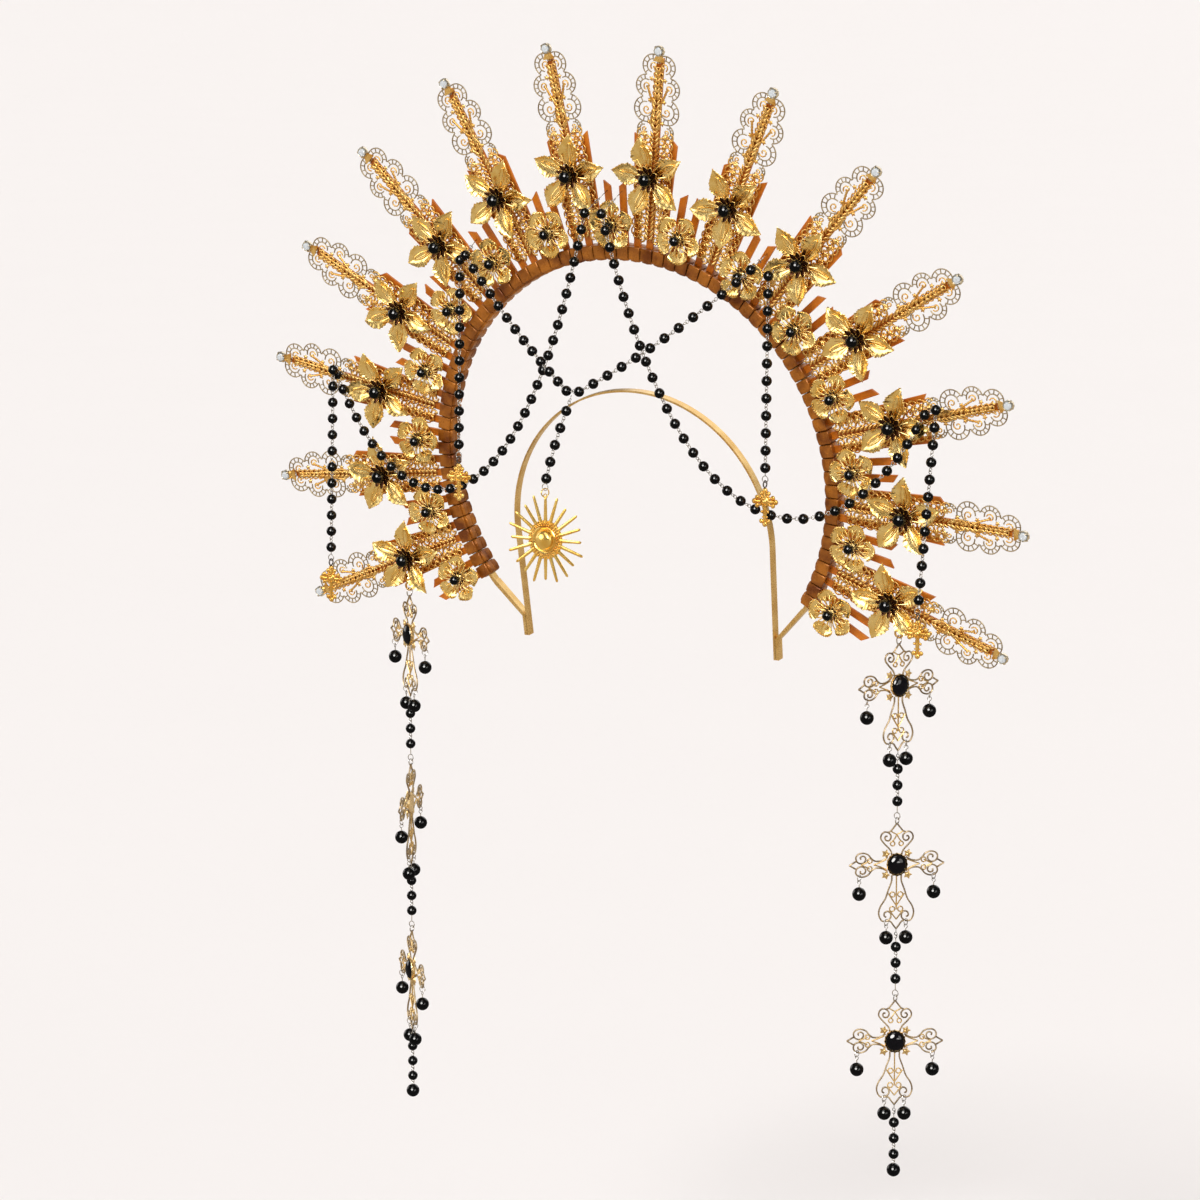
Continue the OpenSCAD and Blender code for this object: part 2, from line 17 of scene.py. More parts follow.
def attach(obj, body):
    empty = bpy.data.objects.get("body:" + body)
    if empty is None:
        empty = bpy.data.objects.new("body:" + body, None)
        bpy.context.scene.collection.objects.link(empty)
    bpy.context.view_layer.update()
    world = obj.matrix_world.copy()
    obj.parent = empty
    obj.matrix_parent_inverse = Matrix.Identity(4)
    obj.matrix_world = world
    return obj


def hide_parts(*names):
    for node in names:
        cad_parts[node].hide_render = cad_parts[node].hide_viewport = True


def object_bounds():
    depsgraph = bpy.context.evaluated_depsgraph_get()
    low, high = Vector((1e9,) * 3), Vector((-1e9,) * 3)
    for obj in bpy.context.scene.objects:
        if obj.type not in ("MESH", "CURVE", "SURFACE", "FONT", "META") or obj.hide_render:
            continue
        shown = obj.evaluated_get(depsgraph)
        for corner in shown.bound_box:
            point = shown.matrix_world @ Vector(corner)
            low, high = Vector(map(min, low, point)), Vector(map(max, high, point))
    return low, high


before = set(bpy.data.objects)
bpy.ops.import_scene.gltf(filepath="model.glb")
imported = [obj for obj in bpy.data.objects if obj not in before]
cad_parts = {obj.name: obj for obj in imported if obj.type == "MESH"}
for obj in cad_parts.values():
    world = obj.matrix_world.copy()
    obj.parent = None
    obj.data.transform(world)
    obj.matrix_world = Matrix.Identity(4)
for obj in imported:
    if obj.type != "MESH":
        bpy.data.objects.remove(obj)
cad_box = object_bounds()
MM = 0.001
print("CAD box in mm:", [[round(c / MM, 1) for c in corner] for corner in cad_box])

# %% [markdown]
# ## Where things stand
# On the real crown everything grows from the hoop: fourteen rays at equal angles, in a plane that
# leans forward a little. Each piece could have coordinates of its own, but no number would then
# show why it stands there. So two matrices place almost every piece: one for the leaning halo, and
# one for a place on a ray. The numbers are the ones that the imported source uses.

# %% The leaning halo and its rays
HALO_LEAN = math.radians(8.5)
SEAT = 47.0  # from the hoop's centre up to where the headband sits
RAY_COUNT = 14
RAY_STEP = math.radians(17.2)
TIE_STEP = RAY_STEP / 5
worn = Matrix.Translation((0, SEAT * math.sin(HALO_LEAN) * MM, -SEAT * math.cos(HALO_LEAN) * MM))
halo = worn @ Matrix.Rotation(math.pi / 2 + HALO_LEAN, 4, "X")


def on_ray(angle, r=0.0, w=0.0):
    """Frame on a ray: x to the side, y outward, z forward of the hoop; r and w in mm."""
    return halo @ Matrix.Rotation(angle, 4, "Z") @ Matrix.Translation((0, r * MM, w * MM))


def ray_turn(i):
    """Angle of ray i from the top, positive towards the left of the picture."""
    return (RAY_COUNT / 2 + 0.5 - i) * RAY_STEP


print("rays from", round(math.degrees(ray_turn(1))), "to", round(math.degrees(ray_turn(14))), "degrees")

# %% [markdown]
# ## One way to make metalwork
# Filigree, petals, cable ties and turned rims look different, but each is a row of closed outlines
# joined like the ribs of a boat: a loft. Blender's curve bevel or its modifiers could make some of
# them. One small loft function makes them all, keeps every solid closed, and lets many parts share
# one mesh. The collector below turns a solid right side out when its volume comes out negative.

# %% A collector of solids
class Metalwork:
    """Collects closed solids in millimetres and makes one mesh of them in metres."""

    def __init__(self):
        self.points = []
        self.faces = []
        self.finish = []
        self.count = 0

    def loft(self, loops, closed=False, finish=0):
        """Joins closed outlines, an array of loops x points x 3, into one solid."""
        loops = np.asarray(loops, float)
        rows, size = loops.shape[:2]
        i = np.arange(rows if closed else rows - 1)[:, None]
        s = np.arange(size)[None, :]
        here, there = i * size, (i + 1) % rows * size
        quads = np.stack([here + s, here + (s + 1) % size, there + (s + 1) % size, there + s], -1)
        quads = quads.reshape(-1, 4)
        points = loops.reshape(-1, 3)
        a, b, c, d = (points[quads[:, k]] - points.mean(0) for k in range(4))
        inside_out = (np.cross(a, b) * c + np.cross(a, c) * d).sum() < 0
        caps = [] if closed else [list(range(size))[::-1], list(range((rows - 1) * size, rows * size))]
        faces = quads.tolist() + caps
        if inside_out:
            faces = [face[::-1] for face in faces]
        self.add(points, faces, [finish] * len(faces))

    def add(self, points, faces, finish):
        self.faces += [[v + self.count for v in face] for face in faces]
        self.points.append(points)
        self.finish += finish
        self.count += len(points)

    def copies(self, other, places):
        """Adds another collector's solids at each place, a 4 x 4 matrix in millimetres."""
        points = np.concatenate(other.points)
        for place in places:
            m = np.array(place)
            self.add(points @ m[:3, :3].T + m[:3, 3], other.faces, other.finish)

    def mesh(self, name, finishes, sharp=None):
        mesh = bpy.data.meshes.new(name)
        mesh.from_pydata((np.concatenate(self.points) * MM).tolist(), [], self.faces)
        for material in finishes:
            mesh.materials.append(material)
        mesh.polygons.foreach_set("material_index", self.finish)
        mesh.shade_smooth()
        if sharp is not None:
            mesh.set_sharp_from_angle(angle=math.radians(sharp))
        return mesh


def faces_made(make, *details):
    """How many faces a making function adds to an empty collector."""
    trial = Metalwork()
    make(trial, *details)
    return len(trial.faces)


cube = [[(0, 0, z), (1, 0, z), (1, 1, z), (0, 1, z)] for z in (0, 1)]
print("faces of a lofted cube:", faces_made(Metalwork.loft, cube))

# %% From a mesh to a named piece
def in_mm(matrix):
    """The same place with its shift in millimetres, for use in a collector."""
    place = matrix.copy()
    place.translation = place.translation / MM
    return place


def piece(name, mesh, body, slot, *nodes, place=None):
    """Puts a mesh in the scene as a named piece that rides on a body and stands for CAD nodes."""
    obj = bpy.data.objects.new(name, mesh)
    bpy.context.scene.collection.objects.link(obj)
    if place is not None:
        obj.matrix_world = place
    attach(obj, body)
    if nodes:
        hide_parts(*nodes)
    return obj


# %% A wire swept along a path
def wire(work, path, width, depth=None, z=0.0, closed=False, up=(0, 0, 1), sides=6, milled=0.0,
         finish=0):
    """Sweeps an oval wire along a path; milled makes every second ring thinner, as a beaded edge."""
    path = np.asarray(path, float)
    if path.shape[1] == 2:
        path = np.column_stack([path, np.full(len(path), z)])
    if closed:
        along = np.roll(path, -1, 0) - np.roll(path, 1, 0)
    else:
        along = np.gradient(path, axis=0)
    along /= np.linalg.norm(along, axis=1)[:, None]
    across = np.cross(np.broadcast_to(np.asarray(up, float), along.shape), along)
    across /= np.linalg.norm(across, axis=1)[:, None]
    lift = np.cross(along, across)
    half = np.broadcast_to(np.asarray(width, float) / 2, len(path)).copy()
    flat = 1.0 if depth is None else depth / np.max(width)
    half[1::2] *= 1 - milled
    turn = (np.arange(sides) + 0.5) * 2 * np.pi / sides
    c, s = np.cos(turn)[None, :, None], flat * np.sin(turn)[None, :, None]
    ring = c * across[:, None] + s * lift[:, None]
    work.loft(path[:, None] + ring * half[:, None, None], closed=closed, finish=finish)


print("faces in a short wire:", faces_made(wire, [(0, 0), (5, 0), (10, 0)], 1.2))

# %% Turned forms and balls
def turned(work, profile, centre=(0, 0, 0), sides=20, oval=1.0, lobes=0, lobe_depth=0.0, finish=0):
    """Turns a profile of (radius, height) pairs round z; oval stretches it, lobes wave its rim."""
    turn = np.arange(sides) * 2 * np.pi / sides
    wave = 1 + lobe_depth * np.cos(lobes * turn)
    loops = []
    for r, h in profile:
        x, y = r * wave * np.cos(turn), oval * r * wave * np.sin(turn)
        loops.append(np.column_stack([x, y, np.full(sides, h)]))
    work.loft(np.array(loops) + np.asarray(centre, float), finish=finish)


POLE = 82  # degrees; a ball's last ring stops short of its pole


def ball(work, centre, r, rows=6, sides=10, flat=1.0, finish=0):
    """A ball, or a flattened one, turned from its own outline."""
    rise = np.radians(np.linspace(-POLE, POLE, rows))
    profile = np.column_stack([r * np.cos(rise), flat * r * np.sin(rise)])
    turned(work, profile, centre, sides, finish=finish)


print("faces in a ball:", faces_made(ball, (0, 0, 0), 1.0))

# %% Plates and curves
def plate(work, grid, thick, finish=0):
    """Gives a curved sheet, an array of rows x columns x 3, its thickness and lofts it row by row."""
    grid = np.asarray(grid, float)
    normal = np.cross(np.gradient(grid, axis=1), np.gradient(grid, axis=0))
    normal /= np.maximum(np.linalg.norm(normal, axis=2), 1e-9)[..., None]
    front, back = grid + normal * thick / 2, grid - normal * thick / 2
    work.loft(np.concatenate([front, back[:, ::-1]], axis=1), finish=finish)


def arc(centre, r, start, end, n):
    """Points on an arc, from one angle to another in degrees."""
    turn = np.radians(np.linspace(start, end, n))
    return np.column_stack([centre[0] + r * np.cos(turn), centre[1] + r * np.sin(turn)])


def scroll(centre, r_out, r_in, start, sweep, n=16):
    """Points on a spiral that winds inward through a sweep in degrees."""
    turn = np.radians(np.linspace(start, start + sweep, n))
    r = np.linspace(r_out, r_in, n)
    return np.column_stack([centre[0] + r * np.cos(turn), centre[1] + r * np.sin(turn)])


def smooth(points, n=5):
    """A smooth curve through a few points, n steps between each pair."""
    p = np.asarray(points, float)
    p = np.vstack([2 * p[0] - p[1], p, 2 * p[-1] - p[-2]])
    t = np.arange(n)[:, None] / n
    parts = []
    for a, b, c, d in zip(p, p[1:], p[2:], p[3:]):
        parts.append(0.5 * (2 * b + (c - a) * t + (2 * a - 5 * b + 4 * c - d) * t**2
                            + (3 * b - a - 3 * c + d) * t**3))
    return np.vstack(parts + [p[-2:-1]])


print("points in a smooth curve through three:", len(smooth([(0, 0), (1, 1), (2, 0)])))

# %% [markdown]
# ## The camera
# The camera stands where the photograph was taken: to the right of the crown and a little above it.
# It could stand close with a wide lens, but the photograph's halo is hardly foreshortened, so the
# camera is far off and its lens is long. Two angles turn it, and an offset frames the crown.

# %% Camera
LENS = 135  # mm
FILM_WIDTH = 36  # mm
CAMERA_YAW = math.radians(31.13)
CAMERA_PITCH = math.radians(-9.19)
CAMERA_OFFSET = (22.35, 76.75, 2640.9)  # hoop centre from the camera: right, up and forward, in mm
forward = Vector((-math.sin(CAMERA_YAW) * math.cos(CAMERA_PITCH),
                  math.cos(CAMERA_YAW) * math.cos(CAMERA_PITCH), math.sin(CAMERA_PITCH)))
right = Vector((math.cos(CAMERA_YAW), math.sin(CAMERA_YAW), 0))
above = right.cross(forward)
camera = bpy.data.objects.new("camera", bpy.data.cameras.new("camera"))
bpy.context.scene.collection.objects.link(camera)
camera.data.lens = LENS
camera.data.sensor_width = FILM_WIDTH
turn_to_view = Matrix((right, above, -forward)).transposed().to_4x4()
to_hoop = CAMERA_OFFSET[0] * right + CAMERA_OFFSET[1] * above + CAMERA_OFFSET[2] * forward
place = worn.translation - to_hoop * MM
camera.matrix_world = Matrix.Translation(place) @ turn_to_view
bpy.context.scene.camera = camera
print("camera stands at", [round(c, 3) for c in place])

# %% [markdown]
# ## Finishes
# Thin plated brass isn't one colour. Its tone wanders from pale to orange where the plating is
# thick or thin, its gloss changes from spot to spot, and stamping leaves a fine grain. A picture
# texture could show that, but noise in the shader does it at any distance and from all sides: a
# coarse noise field moves the colour, and a fine one moves the roughness and feeds the bump.

# %% A helper for finishes
def finish(name, pale, deep, metallic, gloss, grain, bump=0.15, tone=120.0, **sockets):
    """Shader whose colour runs from pale to deep and whose roughness lies between two values."""
    material = bpy.data.materials.new(name)
    material.use_nodes = True
    tree = material.node_tree
    shader = tree.nodes["Principled BSDF"]
    shader.inputs["Metallic"].default_value = metallic
    for socket, value in sockets.items():
        shader.inputs[socket.replace("_", " ")].default_value = value
    where = tree.nodes.new("ShaderNodeTexCoord")
    cloud = tree.nodes.new("ShaderNodeTexNoise")
    cloud.inputs["Scale"].default_value = tone
    cloud.inputs["Detail"].default_value = 3
    tree.links.new(where.outputs["Object"], cloud.inputs["Vector"])
    colour = tree.nodes.new("ShaderNodeValToRGB")
    colour.color_ramp.elements[0].position = 0.35
    colour.color_ramp.elements[0].color = (*deep, 1)
    colour.color_ramp.elements[1].position = 0.65
    colour.color_ramp.elements[1].color = (*pale, 1)
    tree.links.new(cloud.outputs["Fac"], colour.inputs["Fac"])
    tree.links.new(colour.outputs["Color"], shader.inputs["Base Color"])
    rough = tree.nodes.new("ShaderNodeMapRange")
    rough.inputs["From Min"].default_value = 0.3
    rough.inputs["From Max"].default_value = 0.7
    rough.inputs["To Min"].default_value = gloss[0]
    rough.inputs["To Max"].default_value = gloss[1]
    fine = tree.nodes.new("ShaderNodeTexNoise")
    fine.inputs["Scale"].default_value = grain
    fine.inputs["Detail"].default_value = 4
    tree.links.new(where.outputs["Object"], fine.inputs["Vector"])
    tree.links.new(fine.outputs["Fac"], rough.inputs["Value"])
    tree.links.new(rough.outputs["Result"], shader.inputs["Roughness"])
    relief = tree.nodes.new("ShaderNodeBump")
    relief.inputs["Strength"].default_value = bump
    relief.inputs["Distance"].default_value = 0.0003
    tree.links.new(fine.outputs["Fac"], relief.inputs["Height"])
    tree.links.new(relief.outputs["Normal"], shader.inputs["Normal"])
    return material


print("a finish has a cloud of colour, a range of gloss and a fine grain")

# %% Golds of this crown
filigree_gold = finish("filigree_gold", (0.90, 0.61, 0.23), (0.72, 0.37, 0.08), 1.0, (0.18, 0.34), 900,
                       tone=220)
# The rims' gold is greyer and darker than the leaf's other wires: painted shade for the dark edges that
# thin wire shows.
rim_gold_painted_shade = finish("rim_gold_painted_shade", (0.50, 0.40, 0.26), (0.30, 0.22, 0.12), 1.0, (0.24, 0.40), 900, tone=200)
petal_gold = finish("petal_gold", (0.95, 0.72, 0.31), (0.84, 0.55, 0.16), 1.0, (0.20, 0.30), 700,
                    bump=0.015, tone=160)
strip_gold = finish("strip_gold", (0.84, 0.58, 0.25), (0.68, 0.42, 0.14), 1.0, (0.22, 0.36), 1200)
cast_gold = finish("cast_gold", (0.93, 0.63, 0.20), (0.72, 0.40, 0.08), 1.0, (0.18, 0.32), 800,
                   bump=0.4)
sun_gold = finish("sun_gold", (0.94, 0.68, 0.23), (0.82, 0.50, 0.11), 1.0, (0.14, 0.26), 800, bump=0.2)
cross_gold = finish("cross_gold", (0.84, 0.62, 0.31), (0.62, 0.42, 0.18), 1.0, (0.20, 0.36), 900)
# The twisted outer wires are a greyer, darker gold than the plain ones: partly painted shade along the
# twist and the wires' edges.
twisted_gold_painted_shade = finish("twisted_gold_painted_shade", (0.62, 0.48, 0.30), (0.26, 0.19, 0.12), 1.0, (0.25, 0.42), 900,
                      tone=260)
claw_gold = finish("claw_gold", (0.90, 0.82, 0.66), (0.70, 0.60, 0.44), 1.0, (0.15, 0.28), 900)
print("golds:", len(bpy.data.materials))

# %% Darker metals, stones and plastic
# The lobes round each bead are dark bronze, darkened further as painted shade for the slits and hollows
# round the bead.
bronze_and_painted_shade = finish("bronze_and_painted_shade", (0.24, 0.085, 0.032), (0.07, 0.022, 0.010), 0.8, (0.16, 0.32), 600)
dark_ring = finish("dark_ring", (0.20, 0.17, 0.15), (0.09, 0.075, 0.07), 1.0, (0.20, 0.35), 900)
silver = finish("silver_wire", (0.66, 0.64, 0.62), (0.38, 0.36, 0.35), 1.0, (0.15, 0.28), 900)
POLISHED = (0.0, 0.003)
jet = finish("black_bead", (0.002, 0.002, 0.002), (0.001, 0.001, 0.001), 0.0, POLISHED, 500,
             bump=0.0, IOR=1.5)
stone_black = finish("black_stone", (0.004, 0.003, 0.004), (0.001, 0.001, 0.002), 0.0, POLISHED, 300,
                     bump=0.0, IOR=1.6)
clear_stone = finish("clear_stone", (0.93, 0.96, 0.97), (0.80, 0.87, 0.92), 0.0, POLISHED, 200,
                     bump=0.0, Transmission_Weight=0.3, IOR=1.9, Coat_Weight=1.0)
amber = finish("amber_plastic", (0.62, 0.185, 0.014), (0.43, 0.105, 0.006), 0.0, (0.28, 0.45), 350,
               bump=0.12, tone=60, Specular_IOR_Level=0.25)
# The wraps and heads are the same plastic as the tails. This copy is darker all over, as painted shade,
# and a little metallic, as a painted reflection of the gold strip under the plastic.
amber_painted_shade = finish("amber_over_metal_painted_shade", (0.42, 0.140, 0.014), (0.15, 0.036, 0.003), 0.25, (0.22, 0.38),
                    350, bump=0.2, tone=90, Specular_IOR_Level=0.3)
print("finishes in all:", len(bpy.data.materials))

# %% [markdown]
# ## The hoop and the headband
# Both are plain gold-coloured metal strips. They could be bent again here from a curve, but the
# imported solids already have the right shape, so they stay as they are and only get their finish.

# %% Strips that stay from the frame
def refinish(material, *nodes):
    """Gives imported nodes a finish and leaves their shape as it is."""
    for name in nodes:
        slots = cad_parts[name].material_slots
        for k in range(len(slots)):
            slots[k].material = material


refinish(strip_gold, "headband", "hoop")

# %% [markdown]
# ## The ties
# Seventy-two amber cable ties are pulled tight round the hoop, side by side. Each has a band that
# wraps the strip, a square head at the front, and a flat tail cut on the slant, and one tail in
# five runs up behind a leaf. An array could repeat one tie round a circle, but the tails' lengths
# and slants differ, so one function lofts a tie and a loop sets it round the hoop. The wraps sink
# towards their sides, which draws the dark seams between them.

# %% Sizes of a tie
HOOP_R = 131.0
TIE_HALF = 3.84
WRAP_MIDDLE = 130.75
WRAP = [(127.1, -4.6), (134.5, -4.6), (135.0, -4.0), (135.0, 4.0), (134.5, 4.6), (127.1, 4.6),
        (126.5, 4.0), (126.5, 0.7), (127.3, 0.35), (127.3, 0.05), (126.7, -0.3), (126.5, -4.0)]
TAIL_HALF = 2.2
TAIL_CUT = 3.4
TAIL_ROOT, TAIL_BELLY = 134.0, 150.0
TAIL_TIPS = (248.0, 202.0, 173.0)  # by the tie's distance from its ray, counted in ties
TAIL_SECTION = [(-2.2, 0.7), (-1.9, 0.6), (1.9, 0.6), (2.2, 0.7), (2.2, 1.95), (2.0, 2.1), (1.45, 2.1),
                (1.25, 1.9), (-1.25, 1.9), (-1.45, 2.1), (-2.0, 2.1), (-2.2, 1.95)]
SEAM = [(0.0, 1.25), (0.35, 0.4), (0.9, 0.0)]  # (distance in from the tie's side, depth)
SWELL = 0.3  # how far the wrap's middle stands out
WRAP_HALF = (5.0, 4.6)  # what a seam's depth is measured against, across the strip and through it
SLOT_SHARE = (0.29, 0.59)  # the slot for the strip, as a share of the wrap
SLOT_SHIFT = 0.2
HEAD = ((-3.6, 127.7, 4.3), (3.6, 135.5, 6.2))  # lowest and highest corner
HEAD_BEVEL = 0.4
print("wrap width and room for it in mm:", round(2 * TIE_HALF, 2), round(TIE_STEP * HOOP_R, 2))

# %% Outline of a wrap, and a block with rounded edges
def wrap_loop(x, inset, hole=False):
    """The wrap's outline in the plane across the hoop; the hole is the slot for the strip."""
    y, z = np.array(WRAP).T
    y = y - WRAP_MIDDLE
    if hole:
        y, z = y * SLOT_SHARE[0] + SLOT_SHIFT, z * SLOT_SHARE[1]
    else:
        y, z = y * (1 - inset / WRAP_HALF[0]), z * (1 - inset / WRAP_HALF[1])
    return np.column_stack([x * (y + WRAP_MIDDLE) / HOOP_R, y + WRAP_MIDDLE, z])


def block(work, low, high, bevel, finish=0):
    """A box with rounded edges, from its lowest to its highest corner."""
    (x0, y0, z0), (x1, y1, z1) = low, high
    loops = []
    for z, inset in ((z0, bevel), (z0 + bevel, 0), (z1 - bevel, 0), (z1, bevel)):
        a, b, c, d = x0 + inset, x1 - inset, y0 + inset, y1 - inset
        loops.append([(a + bevel, c, z), (b - bevel, c, z), (b, c + bevel, z), (b, d - bevel, z),
                      (b - bevel, d, z), (a + bevel, d, z), (a, d - bevel, z), (a, c + bevel, z)])
    work.loft(loops, finish=finish)


print("faces in a head:", faces_made(block, *HEAD, HEAD_BEVEL))

# %% Wrap, head and tail together
def tie(tail_tip, slant):
    """One tie at the top of the hoop; slant says which way its tail is cut."""
    work = Metalwork()
    left = [wrap_loop(inward - TIE_HALF, depth) for inward, depth in SEAM]
    right_side = [wrap_loop(TIE_HALF - inward, depth) for inward, depth in SEAM[::-1]]
    slot = [wrap_loop(side * TIE_HALF, 0, hole=True) for side in (1, -1)]
    # Finish 1, for the wrap and the head, is the darker amber: painted shade and a painted reflection
    # of the strip.
    work.loft([*left, wrap_loop(0, -SWELL), *right_side, *slot], closed=True, finish=1)
    block(work, *HEAD, HEAD_BEVEL, finish=1)
    tail = []
    for y, end in ((TAIL_ROOT, 0), (TAIL_BELLY, 0), ((TAIL_BELLY + tail_tip) / 2, 0), (tail_tip, 1)):
        tail.append([(x, y - (TAIL_CUT * (0.5 - slant * x / TAIL_HALF / 2) if end else 0), z)
                     for x, z in TAIL_SECTION])
    work.loft(tail)
    return work


print("faces in one tie:", len(tie(TAIL_TIPS[0], 1).faces))

# %% Ties round the hoop
ties = Metalwork()
for k in np.arange(-35.5, 36):
    past_ray = abs(k - 2.5) % 5
    place_in_five = int(min(past_ray, 5 - past_ray))
    slant = 1 if (round(abs(k) + 0.5) % 2 == 0) == (k > 0) else -1
    ties.copies(tie(TAIL_TIPS[place_in_five], slant), [in_mm(on_ray(k * TIE_STEP))])
piece("ties", ties.mesh("ties", [amber, amber_painted_shade], sharp=35), "crown", "amber_ties", "straps")
print("faces in the ties:", len(ties.faces))

# %% [markdown]
# ## A filigree leaf
# The real leaf is stamped from thin brass and pierced. Its upper half is eight fans of fine wire with
# spokes between two rims, its spine a fork of beaded bars over a twisted vine, and its lower half a
# net of small scrolls. It could be a flat plate with holes, but the wires catch the light one by
# one, so each is swept on its own. The rims are milled, which the sweep shows as a beaded edge.

# %% Fans of the leaf
LEAF_W = 3.0  # middle of the leaf, forward of the hoop
FANS = [(3.9, 242.8, 7.0, -54, 128), (7.7, 230.6, 6.8, -73, 88), (7.2, 217.0, 7.7, -150, 72),
        (7.6, 205.4, 4.5, -125, 72)]  # (across, along the ray, radius, first and last degree)
INNER_SHARE = 0.56  # inner rim's radius as a share of the fan's
RIM, INNER_RIM, SPOKE, CURL = 0.84, 0.74, 0.66, 0.85  # widths of a fan's wires


def fan(work, side, x, y, r, start, end):
    """Milled rim, inner rim, spokes between them and a small scroll; side mirrors the fan."""
    mirror = np.array([side, 1.0])
    steps = int((end - start) * r / 36)
    rim = arc((x, y), r - 0.4, start, end, steps)
    # The rim, the inner rim and the spokes take finish 1, the rim gold darkened as painted shade.
    wire(work, rim * mirror, RIM, 0.9, LEAF_W, milled=0.2, finish=1)
    inner = r * INNER_SHARE
    inner_rim = arc((x, y), inner, start - 24, end + 24, 14)
    wire(work, inner_rim * mirror, INNER_RIM, 0.9, LEAF_W, finish=1)
    for turn in np.radians(np.linspace(start + 10, end - 10, int((end - start) / 31) + 1)):
        spoke = [(x + q * math.cos(turn), y + q * math.sin(turn)) for q in (inner, r - 0.5)]
        wire(work, np.array(spoke) * mirror, SPOKE, 0.8, LEAF_W, finish=1)
    curl = scroll((x - 0.1 * r, y), inner * 0.66, 0.5, start, 400, 12)
    wire(work, curl * mirror, CURL, 1.0, LEAF_W)


print("faces in a fan:", faces_made(fan, 1, *FANS[0]))

# %% Spine of the leaf
def rosette(work, x, y, z, r=1.35):
    """A tiny five-lobed flower."""
    profile = [(0.3 * r, -0.35), (r, -0.15), (0.9 * r, 0.3), (0.25 * r, 0.6)]
    turned(work, profile, (x, y, z), 10, lobes=5, lobe_depth=0.3)


def wheat(work, start, end, reach):
    """Pairs of small pointed leaves up the middle line, which hide the tail behind them."""
    for y in np.arange(start, end, 2.9):
        for side in (1, -1):
            turns = [(side * 0.35, y), (side * 0.55 * reach, y + 1.3), (side * reach, y + 3.7)]
            wire(work, smooth(turns, 3), [0.7, 1.3, 1.8, 1.9, 1.7, 1.1, 0.4], 0.9, LEAF_W + 0.75)


def spine(work):
    """A twisted vine over the tail, and the beaded fork that reaches into the fans."""
    wheat(work, 206.0, 224.0, 2.2)
    wheat(work, 224.5, 241.0, 1.5)
    for y in np.arange(208.5, 244, 3.6):
        wire(work, arc((0, y), 1.55, 0, 324, 9), 0.95, 1.1, LEAF_W + 0.1, closed=True)
        for side in (1, -1):
            vine = [(0.6, y - 1.9), (2.3, y - 0.7), (2.9, y + 1.2), (1.7, y + 2.1)]
            wire(work, smooth([(side * x, v) for x, v in vine], 3), 0.95, 1.1, LEAF_W)
    for side in (1, -1):
        mirror = np.array([side, 1.0])
        for bar in ([(0.5, 217.6), (2.7, 221.4), (4.6, 225.6), (6.6, 231.0)],
                    [(0.4, 204.4), (2.5, 208.0), (3.0, 212.6), (0.6, 218.0)]):
            wire(work, smooth(bar, 6) * mirror, 1.7, 1.6, LEAF_W + 0.3, milled=0.34)
        for x, y in ((4.4, 235.2), (4.6, 222.6), (4.2, 210.0)):
            rosette(work, side * x, y, LEAF_W + 0.2)


print("faces in a spine:", faces_made(spine))

# %% Net of the leaf's lower half
NET_ROW = 5.3
NET_HALF = 11.6


def leaf_net(work):
    """Rows of rings, scrolls and rosettes up to the fans, and a band of small leaves."""
    wheat(work, 140.5, 202.0, 2.7)
    for k, y in enumerate(np.arange(141.0, 201, NET_ROW)):
        lean = 1 if k % 2 else -1
        curl = scroll((4.9, y), 2.5, 0.7, lean * 90, lean * 400, 12)
        ring = arc((8.6, y + 1.2), 1.7, 0, 324, 9)
        border = arc((NET_HALF - 2.4, y + 3.4), 2.6, -80, 80, 8)
        tie_wire = smooth([(5.6, y + 2.6), (7.2, y + 3.9), (9.3, y + 3.4)], 3)
        for side in (1, -1):
            mirror = np.array([side, 1.0])
            wire(work, curl * mirror, 1.3, 1.3, LEAF_W)
            wire(work, ring * mirror, 1.25, 1.2, LEAF_W, closed=True)
            wire(work, border * mirror, 1.1, 1.1, LEAF_W, milled=0.2)
            wire(work, tie_wire * mirror, 1.3, 1.2, LEAF_W)
            rosette(work, side * 6.3, y + 2.7, LEAF_W + 0.35, 1.6)


print("faces in a net:", faces_made(leaf_net))

# %% Cup for the tip stone
CUP_PROFILE = [(1.2, 0.0), (2.9, 0.1), (3.2, 0.5), (3.15, 2.4), (2.95, 2.9), (2.6, 2.7), (2.5, 1.3),
               (1.0, 1.2)]


def cup(work, centre):
    """A scalloped cup with four claws for the tip stone."""
    turned(work, CUP_PROFILE, centre, 20, lobes=10, lobe_depth=0.03, finish=2)
    for turn in np.radians((45, 135, 225, 315)):
        out = np.array([math.cos(turn), math.sin(turn), 0.0])
        bends = ((3.2, 1.4), (3.05, 3.0), (2.2, 3.6))
        claw = [np.array(centre) + out * r + (0, 0, h) for r, h in bends]
        wire(work, claw, [1.0, 0.9, 0.7], up=np.cross(out, (0, 0, 1)), sides=5, finish=2)


print("faces in a cup:", faces_made(cup, (0, 0, 0)))

# %% A whole leaf, with its gusset and ear
TIP_R, TIP_W = 252, 2.4  # where the cup and its stone stand on the ray


def leaf(ear_side=0, ear_at=None):
    """A whole leaf; the two lowest have an ear, on their left or right, that a drop hangs in."""
    work = Metalwork()
    for side in (1, -1):
        for row in FANS:
            fan(work, side, *row)
    spine(work)
    leaf_net(work)
    gusset = [[(x * s, 245.6 + y, LEAF_W + 0.4) for s in (-1, -0.4, 0.4, 1)]
              for x, y in ((3.9, 0.0), (3.0, 1.8), (1.4, 4.6))]
    plate(work, gusset, 0.6)
    cup(work, (0, TIP_R, TIP_W))
    if ear_side:
        wire(work, arc(ear_at, 2.35, 0, 342, 20), 1.3, 1.2, LEAF_W, closed=True)
        wire(work, [ear_at + (-ear_side * 2.3, 0.0), ear_at + (-ear_side * 7.0, 0.0)], 1.4, 1.2, LEAF_W)
    return work


print("faces in a leaf without an ear:", len(leaf().faces))

